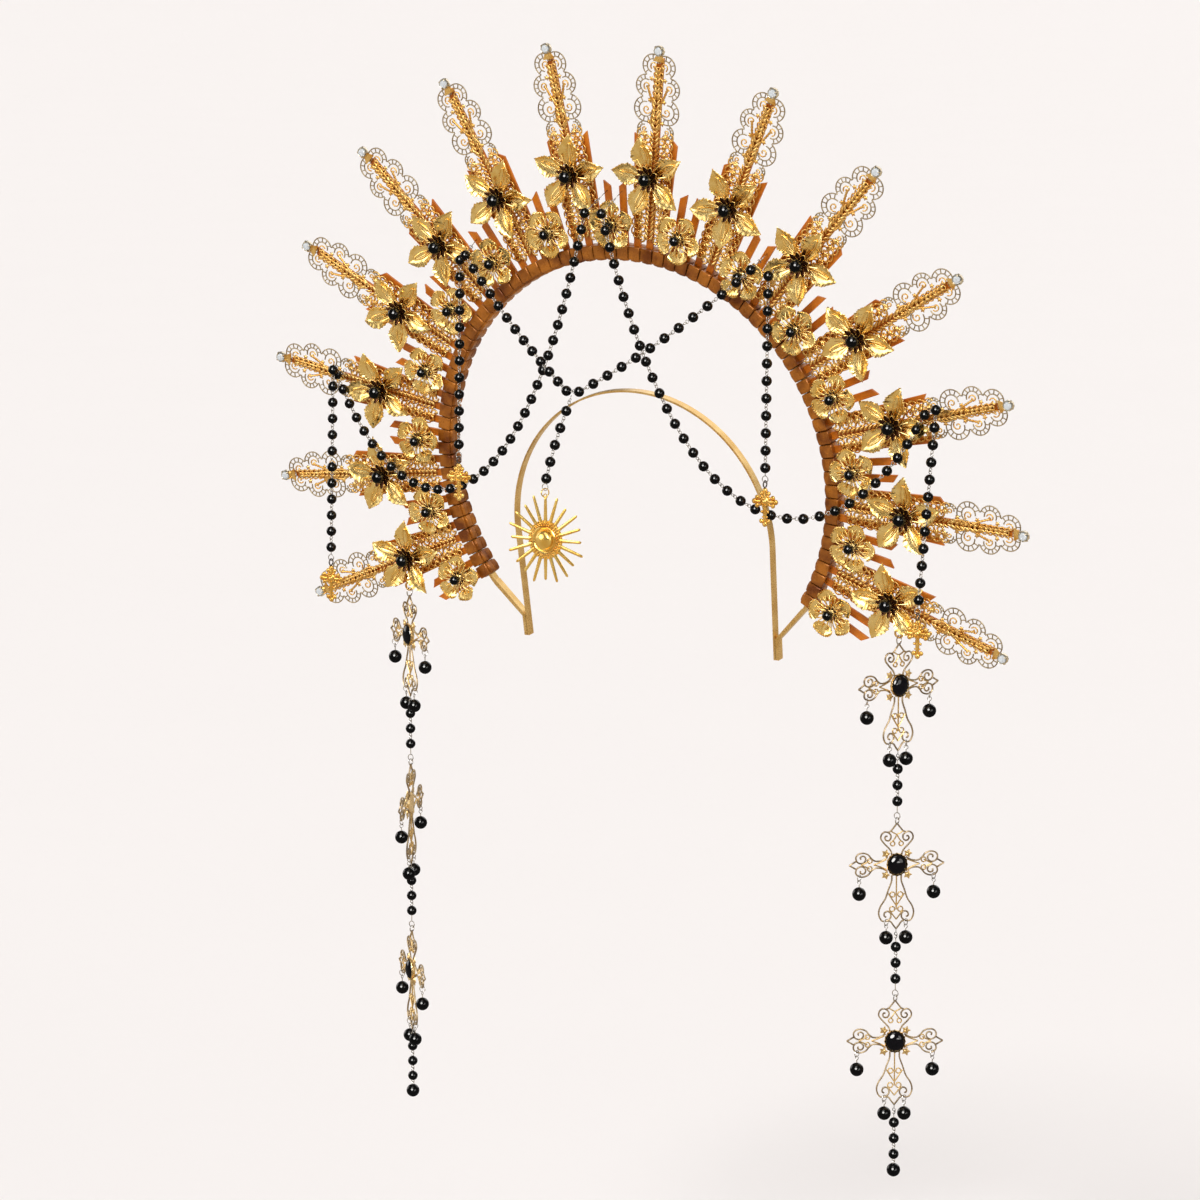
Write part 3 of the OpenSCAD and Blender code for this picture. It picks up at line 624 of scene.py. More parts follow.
# %% Fourteen leaves
DROP_X = 168.0
EAR_V = -85.0
LEAF_FINISHES = [filigree_gold, rim_gold_painted_shade, claw_gold]
plain_leaf = leaf().mesh("leaf", LEAF_FINISHES, sharp=75)
for i in range(1, RAY_COUNT + 1):
    shape = plain_leaf
    if i in (1, RAY_COUNT):
        side = -1 if i == 1 else 1
        ear = Matrix.Rotation(-ray_turn(i), 2) @ Vector((side * DROP_X, EAR_V))
        ear_leaf = leaf(1 if ear.x > 0 else -1, np.array(ear))
        shape = ear_leaf.mesh(f"leaf_with_ear_{i}", LEAF_FINISHES, sharp=75)
    piece(f"filigree_leaf_{i:02d}", shape, "crown", "leaf_gold", f"leaf_{i:02d}",
          place=on_ray(ray_turn(i)))
print("leaves placed:", RAY_COUNT)

# %% [markdown]
# ## Tip stones
# A small clear stone sits in the cup at each tip. An icosphere could stand for it, but a cut stone
# is a flat table and rings of facets, so it is lofted from a few eight-sided rings that turn by
# half a step, and shaded flat.

# %% Stones in their cups
STONE_RINGS = ((0.5, 1.3, 0), (2.4, 2.6, 0), (2.45, 2.9, 0.5), (1.9, 3.8, 0), (1.3, 4.1, 0.5))


def cut_stone():
    """A stone of eight sides, from its point up to its table."""
    work = Metalwork()
    loops = []
    for r, h, shift in STONE_RINGS:
        turn = (np.arange(8) + shift) * np.pi / 4
        loops.append(np.column_stack([r * np.cos(turn), r * np.sin(turn), np.full(8, h)]))
    work.loft(loops)
    return work


tip_stone_mesh = cut_stone().mesh("tip_stone", [clear_stone], sharp=5)
for i in range(1, RAY_COUNT + 1):
    piece(f"tip_stone_{i:02d}", tip_stone_mesh, "crown", "", place=on_ray(ray_turn(i), TIP_R, TIP_W))
print("stones set:", RAY_COUNT)

# %% [markdown]
# ## Large flowers
# Five pointed petals are stamped with a long hairpin groove and fine veins, their edges are
# toothed towards the tip, and a cap of dark lobes holds the bead; their dark bronze is partly
# painted shade round the bead. The relief could be sculpted, but a grid of rows repeats exactly
# and is easy to change: the outline comes from a short table of widths, the relief is added to
# the height, and the grid is given thickness.

# %% A pointed petal
PETAL_WIDTHS = [(0, 1.5), (0.12, 2.6), (0.28, 4.9), (0.44, 6.7), (0.56, 6.9), (0.70, 5.4),
                (0.84, 3.0), (0.94, 1.2), (1.0, 0.15)]
PETAL_COLUMNS = np.array([-1, -0.8, -0.55, -0.34, -0.2, -0.1, 0, 0.1, 0.2, 0.34, 0.55, 0.8, 1])
PETAL_ROOT, PETAL_REACH = 3.0, 24.5
TEETH = 12
HAIRPIN = [(-0.16, 0.10), (-0.24, 0.30), (-0.23, 0.5), (-0.17, 0.68), (0.0, 0.76), (0.17, 0.68),
           (0.23, 0.5), (0.24, 0.30), (0.16, 0.10)]


def pointed_petal(work, turn, rise, curl, twist, cupped):
    """One petal, turned about the flower's middle, with a wire hairpin standing on it."""
    along, widths = smooth(PETAL_WIDTHS, 4).T
    spin = np.array(Matrix.Rotation(turn, 3, "Z"))

    def height(s, q):
        slope = 2.2 + rise * s**1.5 - curl * max(0.0, s - 0.6) ** 2 * 9
        return slope + cupped * math.sin(math.pi * s) * q * q + twist * s * q

    rows = []
    for s in np.linspace(0, 1, 37):
        half = np.interp(s, along, widths)
        notch = 0.17 * (TEETH * s % 1.0) * (0.25 < s < 0.97)
        fold = 0.9 * np.exp(-((PETAL_COLUMNS / 0.14) ** 2)) * math.sin(math.pi * min(1.0, s / 0.85))
        veins = 0.13 * np.cos(2 * np.pi * (6 * s - 1.3 * np.abs(PETAL_COLUMNS))) * np.abs(PETAL_COLUMNS)
        z = np.array([height(s, q) for q in PETAL_COLUMNS]) - fold + veins
        x = PETAL_COLUMNS * half * (1 - notch * np.abs(PETAL_COLUMNS) ** 3)
        y = np.full(len(z), PETAL_ROOT + (PETAL_REACH - PETAL_ROOT) * s)
        rows.append(np.column_stack([x, y, z]) @ spin.T)
    plate(work, rows, 0.45)
    half_at = np.interp([s for _, s in HAIRPIN], along, widths)
    path = [(q * half, PETAL_ROOT + (PETAL_REACH - PETAL_ROOT) * s, height(s, q) + 0.45)
            for (q, s), half in zip(HAIRPIN, half_at)]
    wire(work, smooth(path, 3) @ spin.T, 0.85, sides=6)


print("widest half of a pointed petal in mm:", max(width for _, width in PETAL_WIDTHS))

# %% Cap of dark lobes
LOBE = ((0, 0.35), (0.3, 0.75), (0.65, 1.0), (0.9, 0.8), (1.0, 0.35))  # (share out, share of width)
LOBE_EDGE = [(-0.45, 0.0), (-1.05, 0.55), (0, 1.12), (1.05, 0.55), (0.45, 0.0)]


def lobed_cap(work, count, root, reach, low, high, half):
    """Dark lobes in a ring, bronze partly darkened as painted shade, with a gold wire round each and a
    gold wire between them.
    """
    for k in range(count):
        turn = Matrix.Rotation(2 * math.pi * k / count, 3, "Z")

        def at(x, s, dish):
            return turn @ Vector((x, root + (reach - root) * s, low + (high - low) * s + dish))

        rows = [[at(q * half * share, s, 0.5 * q * q) for q in (-1, -0.5, 0, 0.5, 1)]
                for s, share in LOBE]
        plate(work, rows, 0.4, finish=1)
        edge = smooth([(x * half, s) for x, s in LOBE_EDGE], 3)
        wire(work, [at(x, s, 0.5) for x, s in edge], 0.5, sides=5)
        between = Matrix.Rotation(math.pi / count, 3, "Z") @ turn
        spoke = [(root, low + 0.9), (reach, high - 0.6), (1.7 * reach, high - 0.4)]
        wire(work, [between @ Vector((0, r, z)) for r, z in spoke], [0.55, 0.5, 0.75], sides=5)


print("faces in a cap:", faces_made(lobed_cap, 10, 2.2, 7.4, 3.3, 6.2, 1.6))

# %% A large flower
PETAL_LIFTS = ((3.6, 1.2, 0.5, 2.6), (5.6, 2.2, -0.8, 3.2), (2.4, 0.2, 0.7, 1.8), (4.6, 1.6, -0.3, 2.8),
               (3.0, 0.7, 0.2, 2.2))  # (rise, curl, twist, cupped) in mm


def large_flower(variant):
    """Five petals, a turned crown and the dark cap; the variant says which petal lifts most."""
    work = Metalwork()
    for k in range(5):
        pointed_petal(work, k * 2 * math.pi / 5, *PETAL_LIFTS[(k + 2 * variant) % 5])
    turned(work, [(3.0, 0.0), (4.4, 0.4), (4.2, 1.6), (3.2, 2.9), (2.6, 3.7)], sides=16)
    lobed_cap(work, 10, 2.2, 7.4, 3.3, 6.2, 1.6)
    turned(work, [(1.0, 3.4), (2.6, 3.5), (2.9, 4.0), (1.5, 4.1)], sides=16, finish=1)
    return work


print("faces in a pointed petal:", faces_made(pointed_petal, 0.0, *PETAL_LIFTS[0]))

# %% Fourteen large flowers
LARGE_R = 178.0
LARGE_BASE = 3.9
flower_meshes = [large_flower(v).mesh(f"large_flower_shape_{v}", [petal_gold, bronze_and_painted_shade], sharp=65)
                 for v in range(3)]
for i in range(1, RAY_COUNT + 1):
    spin = Matrix.Rotation(math.radians(29 * i), 4, "Z")
    piece(f"pointed_flower_{i:02d}", flower_meshes[i % 3], "crown", "petal_gold",
          f"large_flower_{i:02d}", place=on_ray(ray_turn(i), LARGE_R, LARGE_BASE) @ spin)
print("faces in a large flower:", len(flower_meshes[0].polygons))

# %% [markdown]
# ## Small flowers
# Between the rays sit smaller flowers of five round petals, ribbed and edged like a shell, with
# hairpin loops of wire standing over them and dark slits round the bead, made as dark bronze lobes
# whose colour is partly painted shade. Each could be a piece of its own, but in the imported model
# they are loose solids of one node, so one mesh holds all fifteen, copied from one flower.

# %% A round petal with its loops
SHELL_COLUMNS = np.linspace(-1, 1, 17)
SHELL_ROWS = [  # (distance from the flower's middle, half width)
    (7.4, 2.6), (8.6, 4.6), (10.0, 5.8), (11.6, 6.3), (13.2, 6.1), (14.4, 5.2),
]
LOOP_SPREAD = math.radians(22)


def round_petal(work, turn, lift):
    """A ribbed shell with a wire round its edge, carried by three hairpin loops side by side."""
    spin = np.array(Matrix.Rotation(turn, 3, "Z"))
    rows = []
    for r, half in SHELL_ROWS:
        far = (r - SHELL_ROWS[0][0]) / (SHELL_ROWS[-1][0] - SHELL_ROWS[0][0])
        ribs = np.cos(np.pi * 8 * SHELL_COLUMNS)
        y = r - 2.6 * SHELL_COLUMNS**2 * far + 0.35 * ribs * far**4
        z = 5.2 + (0.6 + lift) * r / 14 + 0.3 * ribs * far**2 + 1.7 * far * SHELL_COLUMNS**2
        rows.append(np.column_stack([SHELL_COLUMNS * half, y, z]) @ spin.T)
    plate(work, rows, 0.4)
    wire(work, rows[-1] + (0, 0, 0.2), 0.75, sides=5)
    for side in (-1, 0, 1):
        swing = np.array(Matrix.Rotation(turn + side * LOOP_SPREAD, 3, "Z"))
        reach = 12.0 if side == 0 else 10.9
        loop = smooth([(-0.35, 2.6), (-0.75, 4.6), (-1.3, 7.2), (-1.15, reach - 0.9), (0, reach),
                       (1.15, reach - 0.9), (1.3, 7.2), (0.75, 4.6), (0.35, 2.6)], 2)
        rise = 1.9 - 0.5 * abs(side)
        heights = [5.6 + lift * y / 14 + rise * math.sin(math.pi * min(1.0, (y - 2.4) / 9))
                   for x, y in loop]
        wire(work, np.column_stack([loop, heights]) @ swing.T, 0.75, sides=6)


def small_flower():
    """Five shells at five heights, a turned crown and the dark cap."""
    work = Metalwork()
    for k, lift in enumerate((0.4, 1.5, 0.0, 1.1, 0.7)):
        round_petal(work, k * 2 * math.pi / 5, lift)
    turned(work, [(4.4, 0.0), (5.2, 0.5), (4.8, 3.4), (3.4, 4.8), (2.6, 6.6), (1.2, 7.3)], sides=15)
    lobed_cap(work, 10, 1.6, 5.0, 6.0, 7.2, 0.85)
    return work


print("faces in a round petal:", faces_made(round_petal, 0.0, 0.4))

# %% Fifteen small flowers
SMALL_R = 148.0
SMALL_BASE = 2.4
one = small_flower()
all_small = Metalwork()
for k in range(-7, 8):
    spin = Matrix.Rotation(math.radians(23 * k), 4, "Z")
    all_small.copies(one, [in_mm(on_ray(k * RAY_STEP, SMALL_R, SMALL_BASE) @ spin)])
small_mesh = all_small.mesh("round_flowers", [petal_gold, bronze_and_painted_shade], sharp=65)
piece("round_flowers", small_mesh, "crown", "petal_gold", "small_flowers")
print("faces in the small flowers:", len(all_small.faces))

# %% [markdown]
# ## Beads
# All beads are the same glossy black. New spheres could replace them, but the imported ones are
# already round, drilled and threaded, so they stay and take the finish.

# %% Black beads
STRINGS = [
    "swag_left_beads", "swag_right_beads", "swag_front_beads", "inner_left_beads",
    "inner_right_beads", "outer_left_beads", "outer_right_beads", "forehead_beads",
]
refinish(jet, *STRINGS, "large_flower_beads", "small_flower_beads")
refinish(jet, "left_drop_beads", "right_drop_beads")
print("strings of beads:", len(STRINGS))

# %% [markdown]
# ## Wires between the beads
# Each bead sits on a short silver pin that is bent into an eye at both ends, and the eyes hook into
# each other. A plain thread would be simpler, but the gaps between the beads are wide enough to
# show the eyes. The beads of the frame say where the pins go: the centres are read from the packed
# solids, put in order along the string, and two crossed eyes are set in each gap.

# %% Reading the beads' places
def solid_boxes(node):
    """Lowest and highest corner, in mm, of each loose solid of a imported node, in a fixed order."""
    shape = bmesh.new()
    shape.from_mesh(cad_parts[node].data)
    bmesh.ops.remove_doubles(shape, verts=shape.verts, dist=1e-6)
    left = set(shape.verts)
    found = []
    while left:
        heap = [left.pop()]
        part = [heap[0].co.copy()]
        while heap:
            for edge in heap.pop().link_edges:
                for corner in edge.verts:
                    if corner in left:
                        left.remove(corner)
                        heap.append(corner)
                        part.append(corner.co.copy())
        part = np.array(part) / MM
        found.append((part.min(0), part.max(0)))
    shape.free()
    return sorted(found, key=lambda corners: tuple(corners[0]))


def in_order(node):
    """Centres of a string's beads from its highest bead on, each next to the last."""
    left = [(low + high) / 2 for low, high in solid_boxes(node)]
    row = [max(left, key=lambda c: c[2])]
    left = [c for c in left if c is not row[0]]
    while left:
        k = int(np.argmin([np.linalg.norm(c - row[-1]) for c in left]))
        row.append(left.pop(k))
    return row


print("beads on the forehead string:", len(in_order("forehead_beads")))

# %% Pins and eyes
BEAD_R = 3.0
PIN = 0.5
EYE_R = 1.05
HOOKED = 0.75  # from the middle of a gap to the middle of each eye in it


def eye(work, centre, along, normal, r=EYE_R, width=PIN):
    """A closed eye of wire in the plane of two directions."""
    side = np.cross(normal, along)
    turn = np.arange(14) * 2 * np.pi / 14
    path = centre + r * (np.cos(turn)[:, None] * along + np.sin(turn)[:, None] * side)
    wire(work, path, width, closed=True, up=normal, sides=5)


def link(work, a, b, clear_a=BEAD_R, clear_b=BEAD_R):
    """Two hooked eyes between two points, each on a short pin that comes out of its bead."""
    along = (b - a) / np.linalg.norm(b - a)
    normal = np.cross(along, (0.31, 0.95, 0.05))
    normal /= np.linalg.norm(normal)
    start, end = a + along * clear_a, b - along * clear_b
    middle = (start + end) / 2
    for tip, sign, flat in ((start, -1, normal), (end, 1, np.cross(along, normal))):
        centre = middle + sign * along * HOOKED
        eye(work, centre, along, flat)
        wire(work, [tip + sign * along * 0.6, centre + sign * along * 1.0], PIN, up=normal, sides=5)


print("faces in two hooked eyes:", faces_made(link, np.zeros(3), np.array([0.0, 0.0, 9.9])))

# %% Links along the strings
TAIL_W = 2.4  # a wire's end just in front of a tail
LEAF_TIE_W = 3.9  # the same in front of a leaf
NEAR = 60  # mm; an end further than this belongs to the string's other side


def anchor(angle, side, r, w):
    """Point on the halo in mm."""
    return np.array(on_ray(angle) @ (Vector((side, r, w)) * MM)) / MM


chains = Metalwork()
THIRD = ray_turn(3)
FLANK = 2 * RAY_STEP + TIE_STEP / 2
string_ends = {
    "swag_left_beads": [anchor(TIE_STEP / 2, 0, 167, TAIL_W), anchor(THIRD, 5, 205, LEAF_TIE_W)],
    "swag_right_beads": [anchor(-TIE_STEP / 2, 0, 167, TAIL_W), anchor(-THIRD, -5, 205, LEAF_TIE_W)],
    "swag_front_beads": [anchor(FLANK, 0, 166, TAIL_W), anchor(-FLANK, 0, 166, TAIL_W)],
    "inner_left_beads": [anchor(FLANK + TIE_STEP, 0, 164, 4.3)],
    "inner_right_beads": [anchor(-FLANK - TIE_STEP, 0, 164, 4.3)],
    "outer_left_beads": [anchor(THIRD, 1.5, 205, LEAF_TIE_W)],
    "outer_right_beads": [anchor(-THIRD, -1.5, 205, LEAF_TIE_W)],
    "forehead_beads": [],
}
rows = {name: in_order(name) for name in STRINGS}
for name, row in rows.items():
    for a, b in zip(row, row[1:]):
        link(chains, a, b)
    for tip in (row[0], row[-1]):
        for end in string_ends[name]:
            if np.linalg.norm(end - tip) < NEAR:
                link(chains, tip, end, BEAD_R, 0.3)
print("beads on strings:", sum(len(row) for row in rows.values()))

# %% Feet of the strings
FOOT_EYE_R = 1.9
CHARM_RISE = 0.3  # from a charm's highest point up to the middle of the eye it hangs in
DOWN = np.array([0.0, 0.0, -1.0])


def foot_eye(bead, centre):
    """The eye that closes a string, on the pin that comes out of its last bead."""
    eye(chains, centre, -DOWN, np.array([0.0, 1.0, 0.0]), FOOT_EYE_R, 0.6)
    top = centre - DOWN * FOOT_EYE_R
    along = (top - bead) / np.linalg.norm(top - bead)
    wire(chains, [bead + along * (BEAD_R - 0.6), top], 0.6, up=(0.3, 0.9, 0.1), sides=6)


charm_tops = [np.append((low + high)[:2] / 2, high[2]) for low, high in solid_boxes("charms")]
for name in STRINGS:
    if name.startswith(("inner", "outer")):
        low_bead = rows[name][-1]
        top = min(charm_tops, key=lambda t: np.linalg.norm(t - low_bead))
        foot_eye(low_bead, top - DOWN * CHARM_RISE)

swag_low = np.array(worn.translation) / MM + (0, -75, 50.7)  # low point of the front swag
hang = np.array(worn.translation) / MM + (0, -103.5, 1.5)  # eye that the sun hangs in
link(chains, rows["forehead_beads"][0], swag_low, BEAD_R, 0.3)
foot_eye(rows["forehead_beads"][-1], hang)
piece("pins_and_eyes", chains.mesh("pins_and_eyes", [silver]), "crown", "silver_wire", "chain_wires")
print("faces in pins and eyes:", len(chains.faces))

# %% [markdown]
# ## Filigree crosses
# Each long drop is a row of three crosses bent from flat wire. The outer wire of every arm is
# twisted and ends in a spiral, and plain wires cross inside it. Curve objects with a bevel could
# draw them too, but then every wire would be an object to place. An arm has the same two halves, so
# a table holds the wires of one half as (distance from the arm's line, distance from the middle),
# and the function draws both halves and turns the arm into place.

# %% Wires of the three kinds of arm
OUTER, INNER = 1, 0
TOP_ARM = [
    (OUTER, [(3.0, 5.5), (3.2, 7.0), (4.4, 9.1), (7.3, 12.1), (9.4, 15.0), (9.1, 17.6), (7.3, 19.1),
             (5.2, 18.7), (3.7, 17.2), (3.6, 15.3), (4.7, 14.0), (6.3, 14.1), (7.1, 15.3), (6.6, 16.5),
             (5.6, 16.5)]),
    (OUTER, [(5.0, 18.9), (3.5, 19.7), (2.0, 21.5), (0.9, 22.9), (0.0, 24.2)]),
    (INNER, [(2.6, 13.4), (1.2, 15.2), (0.0, 17.5)]),
    (INNER, [(3.6, 19.5), (1.8, 18.4), (0.0, 17.5)]),
]
SIDE_ARM = [
    (OUTER, [(4.2, 5.4), (2.4, 8.5), (2.1, 12.6), (3.8, 15.0), (5.9, 16.8), (7.0, 19.7), (6.5, 22.6),
             (4.4, 24.1), (1.8, 23.2), (0.9, 20.6), (2.2, 18.6), (4.2, 18.4), (5.3, 19.8), (4.6, 21.4),
             (3.3, 21.2)]),
    (OUTER, [(2.4, 23.7), (1.9, 24.7), (1.1, 26.0), (0.0, 28.0)]),
    (INNER, [(3.0, 6.0), (1.6, 9.0), (0.0, 13.5)]),
    (INNER, [(2.4, 16.0), (1.2, 18.2), (0.0, 21.0)]),
]
FOOT_ARM = [
    (OUTER, [(2.8, 6.5), (2.9, 10.0), (4.7, 15.0), (6.5, 20.3), (9.2, 24.6), (10.3, 28.2), (9.8, 31.2),
             (8.2, 33.4), (5.4, 33.5), (3.3, 31.6), (3.3, 29.2), (5.0, 27.8), (6.8, 28.6), (7.1, 30.4),
             (5.9, 31.3)]),
    (OUTER, [(5.0, 33.4), (3.2, 34.0), (1.5, 36.3), (0.0, 38.2)]),
    (INNER, [(4.7, 17.3), (2.6, 20.6), (0.0, 24.5)]),
    (INNER, [(4.0, 27.3), (2.1, 29.8), (0.0, 32.6)]),
    (INNER, [(0.01, 6.5), (0.0, 16.0), (0.01, 26.8)]),
]
LOOPS = {  # (across, along the arm, radius) of the small rings
    "top": [(2.5, 12.1, 1.3)],
    "side": [(2.3, 15.9, 1.4)],
    "foot": [(2.3, 17.9, 1.5), (2.4, 26.5, 1.5)],
}


print("wires in half an arm:", len(TOP_ARM), len(SIDE_ARM), len(FOOT_ARM))

# %% An arm from its table
def arm(work, wires, loops, turn):
    """Both halves of an arm; turn 0 points up."""
    c, n = math.cos(turn), math.sin(turn)
    rotate = np.array([[c, n], [-n, c]])
    for side in (1, -1):
        mirror = np.array([side, 1.0])
        for kind, points in wires:
            if kind == OUTER:
                # Outer wires take finish 1, the twisted gold darkened partly as painted shade.
                wire(work, smooth(points, 7) * mirror @ rotate, 1.15, 1.3, milled=0.26, finish=1)
            else:
                wire(work, smooth(points, 4) * mirror @ rotate, 0.85, 1.0)
        for x, y, r in loops:
            wire(work, arc((x, y), r, 0, 330, 12) * mirror @ rotate, 0.85, 1.0, closed=True)


print("faces in the top arm:", faces_made(arm, TOP_ARM, LOOPS["top"], 0.0))

# %% Middle of a cross
STONE_OVAL = 1.1
SETTING = [(4.4, -0.5), (5.5, -0.45), (6.05, 0.3), (6.2, 1.5), (5.95, 2.1), (5.6, 1.7), (5.4, 0.9),
           (1, 0.7)]
DOME = [(4.0, 0.8), (5.45, 0.85), (5.5, 1.5), (5.2, 2.2), (4.5, 2.9), (3.5, 3.4), (2.3, 3.72),
        (1.1, 3.88), (0.2, 3.92)]


def cross_body():
    """Four arms, the setting, and the rosettes between the arms."""
    work = Metalwork()
    arm(work, TOP_ARM, LOOPS["top"], 0.0)
    arm(work, SIDE_ARM, LOOPS["side"], math.pi / 2)
    arm(work, SIDE_ARM, LOOPS["side"], -math.pi / 2)
    arm(work, FOOT_ARM, LOOPS["foot"], math.pi)
    turned(work, SETTING, sides=48, oval=STONE_OVAL, lobes=16, lobe_depth=0.035)
    for x in (-6.5, 6.5):
        for y in (-6.3, 6.3):
            rosette(work, x, y, 0.4, 2.2)
            rosette(work, 0.92 * x, 0.92 * y, 0.9, 1.2)
    return work


def domed_stone():
    """The domed black stone that the setting holds."""
    work = Metalwork()
    turned(work, DOME, sides=40, oval=STONE_OVAL)
    return work


print("faces in a setting:", faces_made(turned, SETTING, (0, 0, 0), 48, STONE_OVAL, 16, 0.035))

# %% Rings, pins and stem of a cross
UP = np.array([0.0, 1.0, 0.0])
ASIDE = np.array([1.0, 0.0, 0.0])
FACING = np.array([0.7071, 0.0, 0.7071])
FORWARD = np.array([0.0, 0.0, 1.0])
CROSS_TOP = 24.0
FOOT_TIP = -38.2
STEM_BEADS = (-49, -58.5, -68)
NEXT_EYE = -76.6  # middle of the eye that the next cross hangs in
LAST_BEAD, LAST_BEAD_R = -77.5, 4  # the bead that ends a drop
LAST_CROSS = 3


def hung_bead(work, x, y, bead_y):
    """Jump ring round the cross's wire at a point, and the eye and pin of the bead below it."""
    eye(work, np.array([x, y - 1.0, 0]), UP, FACING, 1.9, 0.55)
    eye(work, np.array([x, y - 3.4, 0]), UP, FACING * (-1, 1, 1), 1.15, 0.5)
    wire(work, [(x, y - 4.5, 0), (x, bead_y - 3.6, 0)], 0.6, up=ASIDE, sides=6)


def stem(work, k):
    """Ring above a cross and the chain of beads below it."""
    ring = 2.8 if k == 1 else 2.0
    eye(work, np.array([0, CROSS_TOP - 0.4 + ring, 0]), UP, ASIDE, ring, 0.8)
    spots = [np.array([0.0, y, 0.0]) for y in (FOOT_TIP, *STEM_BEADS)]
    link(work, spots[0], spots[1], 0, BEAD_R)
    link(work, spots[1], spots[2])
    link(work, spots[2], spots[3])
    if k == LAST_CROSS:
        link(work, spots[3], np.array([0, LAST_BEAD, 0]), BEAD_R, LAST_BEAD_R)
    else:
        wire(work, [spots[3] - UP * 2.4, (0, NEXT_EYE + 1.9, 0)], 0.6, up=ASIDE, sides=6)
        eye(work, np.array([0, NEXT_EYE, 0]), UP, FORWARD, 1.9, 0.6)


print("faces in a stem:", faces_made(stem, 1))

# %% Six crosses in two drops
CROSS_PITCH = 105.0
FIRST_DROP = 27.7  # from the hinge down to the first cross's middle
CROSS_TURNS = {"left": (-32, -72, -40), "right": (63, 40, 33)}
BEADS_BELOW = ((22, -6.6, -17), (-22, -6.6, -17), (5.8, -33.4, -43.4), (-5.8, -33.4, -43.4))
SILVER_PLACE = 2  # silver's place in a cross's row of finishes
upright =Matrix.Rotation(math.pi / 2, 4, "X")
body = cross_body()
hangers = Metalwork()
for x, y, bead_y in BEADS_BELOW:
    hung_bead(hangers, x, y, bead_y)
domed_mesh = domed_stone().mesh("domed_stone", [stone_black])
for side, turns in CROSS_TURNS.items():
    sign = 1 if side == "right" else -1
    hinge = halo @ (Vector((sign * DROP_X, EAR_V - 2.35, LEAF_W)) * MM)
    for k, degrees in enumerate(turns, 1):
        turn = Matrix.Rotation(math.radians(degrees), 4, "Z") @ upright
        place = Matrix.Translation(hinge - Vector((0, 0, FIRST_DROP + CROSS_PITCH * (k - 1))) * MM)
        cross = Metalwork()
        cross.copies(body, [turn])
        still = Metalwork()
        stem(still, k)
        hung = Metalwork()
        hung.copies(hangers, [turn])
        hung.copies(still, [upright])
        hung.finish = [SILVER_PLACE] * len(hung.finish)
        cross.copies(hung, [Matrix.Identity(4)])
        shape = cross.mesh(f"{side}_cross_{k}", [cross_gold, twisted_gold_painted_shade, silver], sharp=50)
        moving = f"{side}_drop"
        piece(f"{side}_wire_cross_{k}", shape, moving, "cast_gold", f"{side}_cross_{k}", place=place)
        piece(f"{side}_domed_stone_{k}", domed_mesh, moving, "black_stone", f"{side}_cabochon_{k}",
              place=place @ turn)
print("faces in a cross:", len(body.faces))

# %% [markdown]
# ## Charms
# A small cast cross hangs from a dark ring at the foot of each straight string. Its arms are
# chunky and grained, with three round lobes at each end. Casting softens every edge, so the cross
# is a heap of flattened balls and short ribbed bars sunk into each other.

# %% A cast charm
CHARM_MIDDLE = -10.0  # below the middle of its ring
CHARM_ARMS = ((0, 6.4), (90, 6.8), (-90, 6.8), (180, 12.9))  # (turn in degrees, length)
CHARM_BOSS = [(1.5, -1.1), (2.7, -0.8), (3.2, 0.0), (2.8, 0.9), (1.9, 1.2), (1.7, 0.9), (1.2, 1.5),
              (0.2, 1.8)]


def charm_arm(work, turn, reach):
    """A ribbed bar with grains beside it and three lobes at its end."""
    spin = Matrix.Rotation(math.radians(turn), 3, "Z")

    def out(x, y, z=0.0):
        return np.array(spin @ Vector((x, y, z))) + (0, CHARM_MIDDLE, 0)

    bar = [out(0, y) for y in np.linspace(1.5, reach, 9)]
    wire(work, bar, np.linspace(3.0, 2.2, 9), 2.0, sides=8, milled=0.22, finish=1)
    for x, y, r in ((0, reach, 1.7), (-2.3, reach - 1.7, 1.45), (2.3, reach - 1.7, 1.45)):
        ball(work, out(x, y), r, 6, 10, 0.62, finish=1)
        ball(work, out(x, y, 0.8), r * 0.45, 4, 7, finish=1)
    for x in (-1.9, 1.9):
        ball(work, out(x, 0.45 * reach), 0.95, 5, 8, 0.8, finish=1)
        ball(work, out(x * 0.75, 0.68 * reach), 0.6, 4, 7, finish=1)


def charm():
    """Ring, four arms, boss and a ring of grains."""
    work = Metalwork()
    eye(work, np.zeros(3), UP, ASIDE, 2.0, 0.9)
    for turn, reach in CHARM_ARMS:
        charm_arm(work, turn, reach)
    turned(work, CHARM_BOSS, (0, CHARM_MIDDLE, 0), 20, lobes=10, lobe_depth=0.05, finish=1)
    for k in range(8):
        a = math.pi / 4 * (k + 0.5)
        ball(work, (2.4 * math.cos(a), CHARM_MIDDLE + 2.4 * math.sin(a), 0.95), 0.45, 4, 6, finish=1)
    return work


print("faces in an arm of a charm:", faces_made(charm_arm, *CHARM_ARMS[0]))

# %% Four charms
CHARM_TOP = 2.5  # from a charm's highest point down to the middle of its ring
cast_charm = charm()
charms = Metalwork()
for x, y, z in charm_tops:
    charms.copies(cast_charm, [Matrix.Translation((x, y, z - CHARM_TOP)) @ upright])
charm_mesh = charms.mesh("cast_charms", [dark_ring, cast_gold], sharp=60)
piece("cast_charms", charm_mesh, "crown", "cast_gold", "charms")
print("faces in a charm:", len(cast_charm.faces))

# %% [markdown]
# ## The sun
# The pendant in front is a star of twenty narrow rays, a little uneven in length, round rings of
# grains and a polished boss with a flared collar. It could be cut from one plate and carved, but
# each part has a plain way of its own: the boss is one turned profile, each grain a ball, and each
# ray a tapered wire with a notched edge, which stands for its engraving.

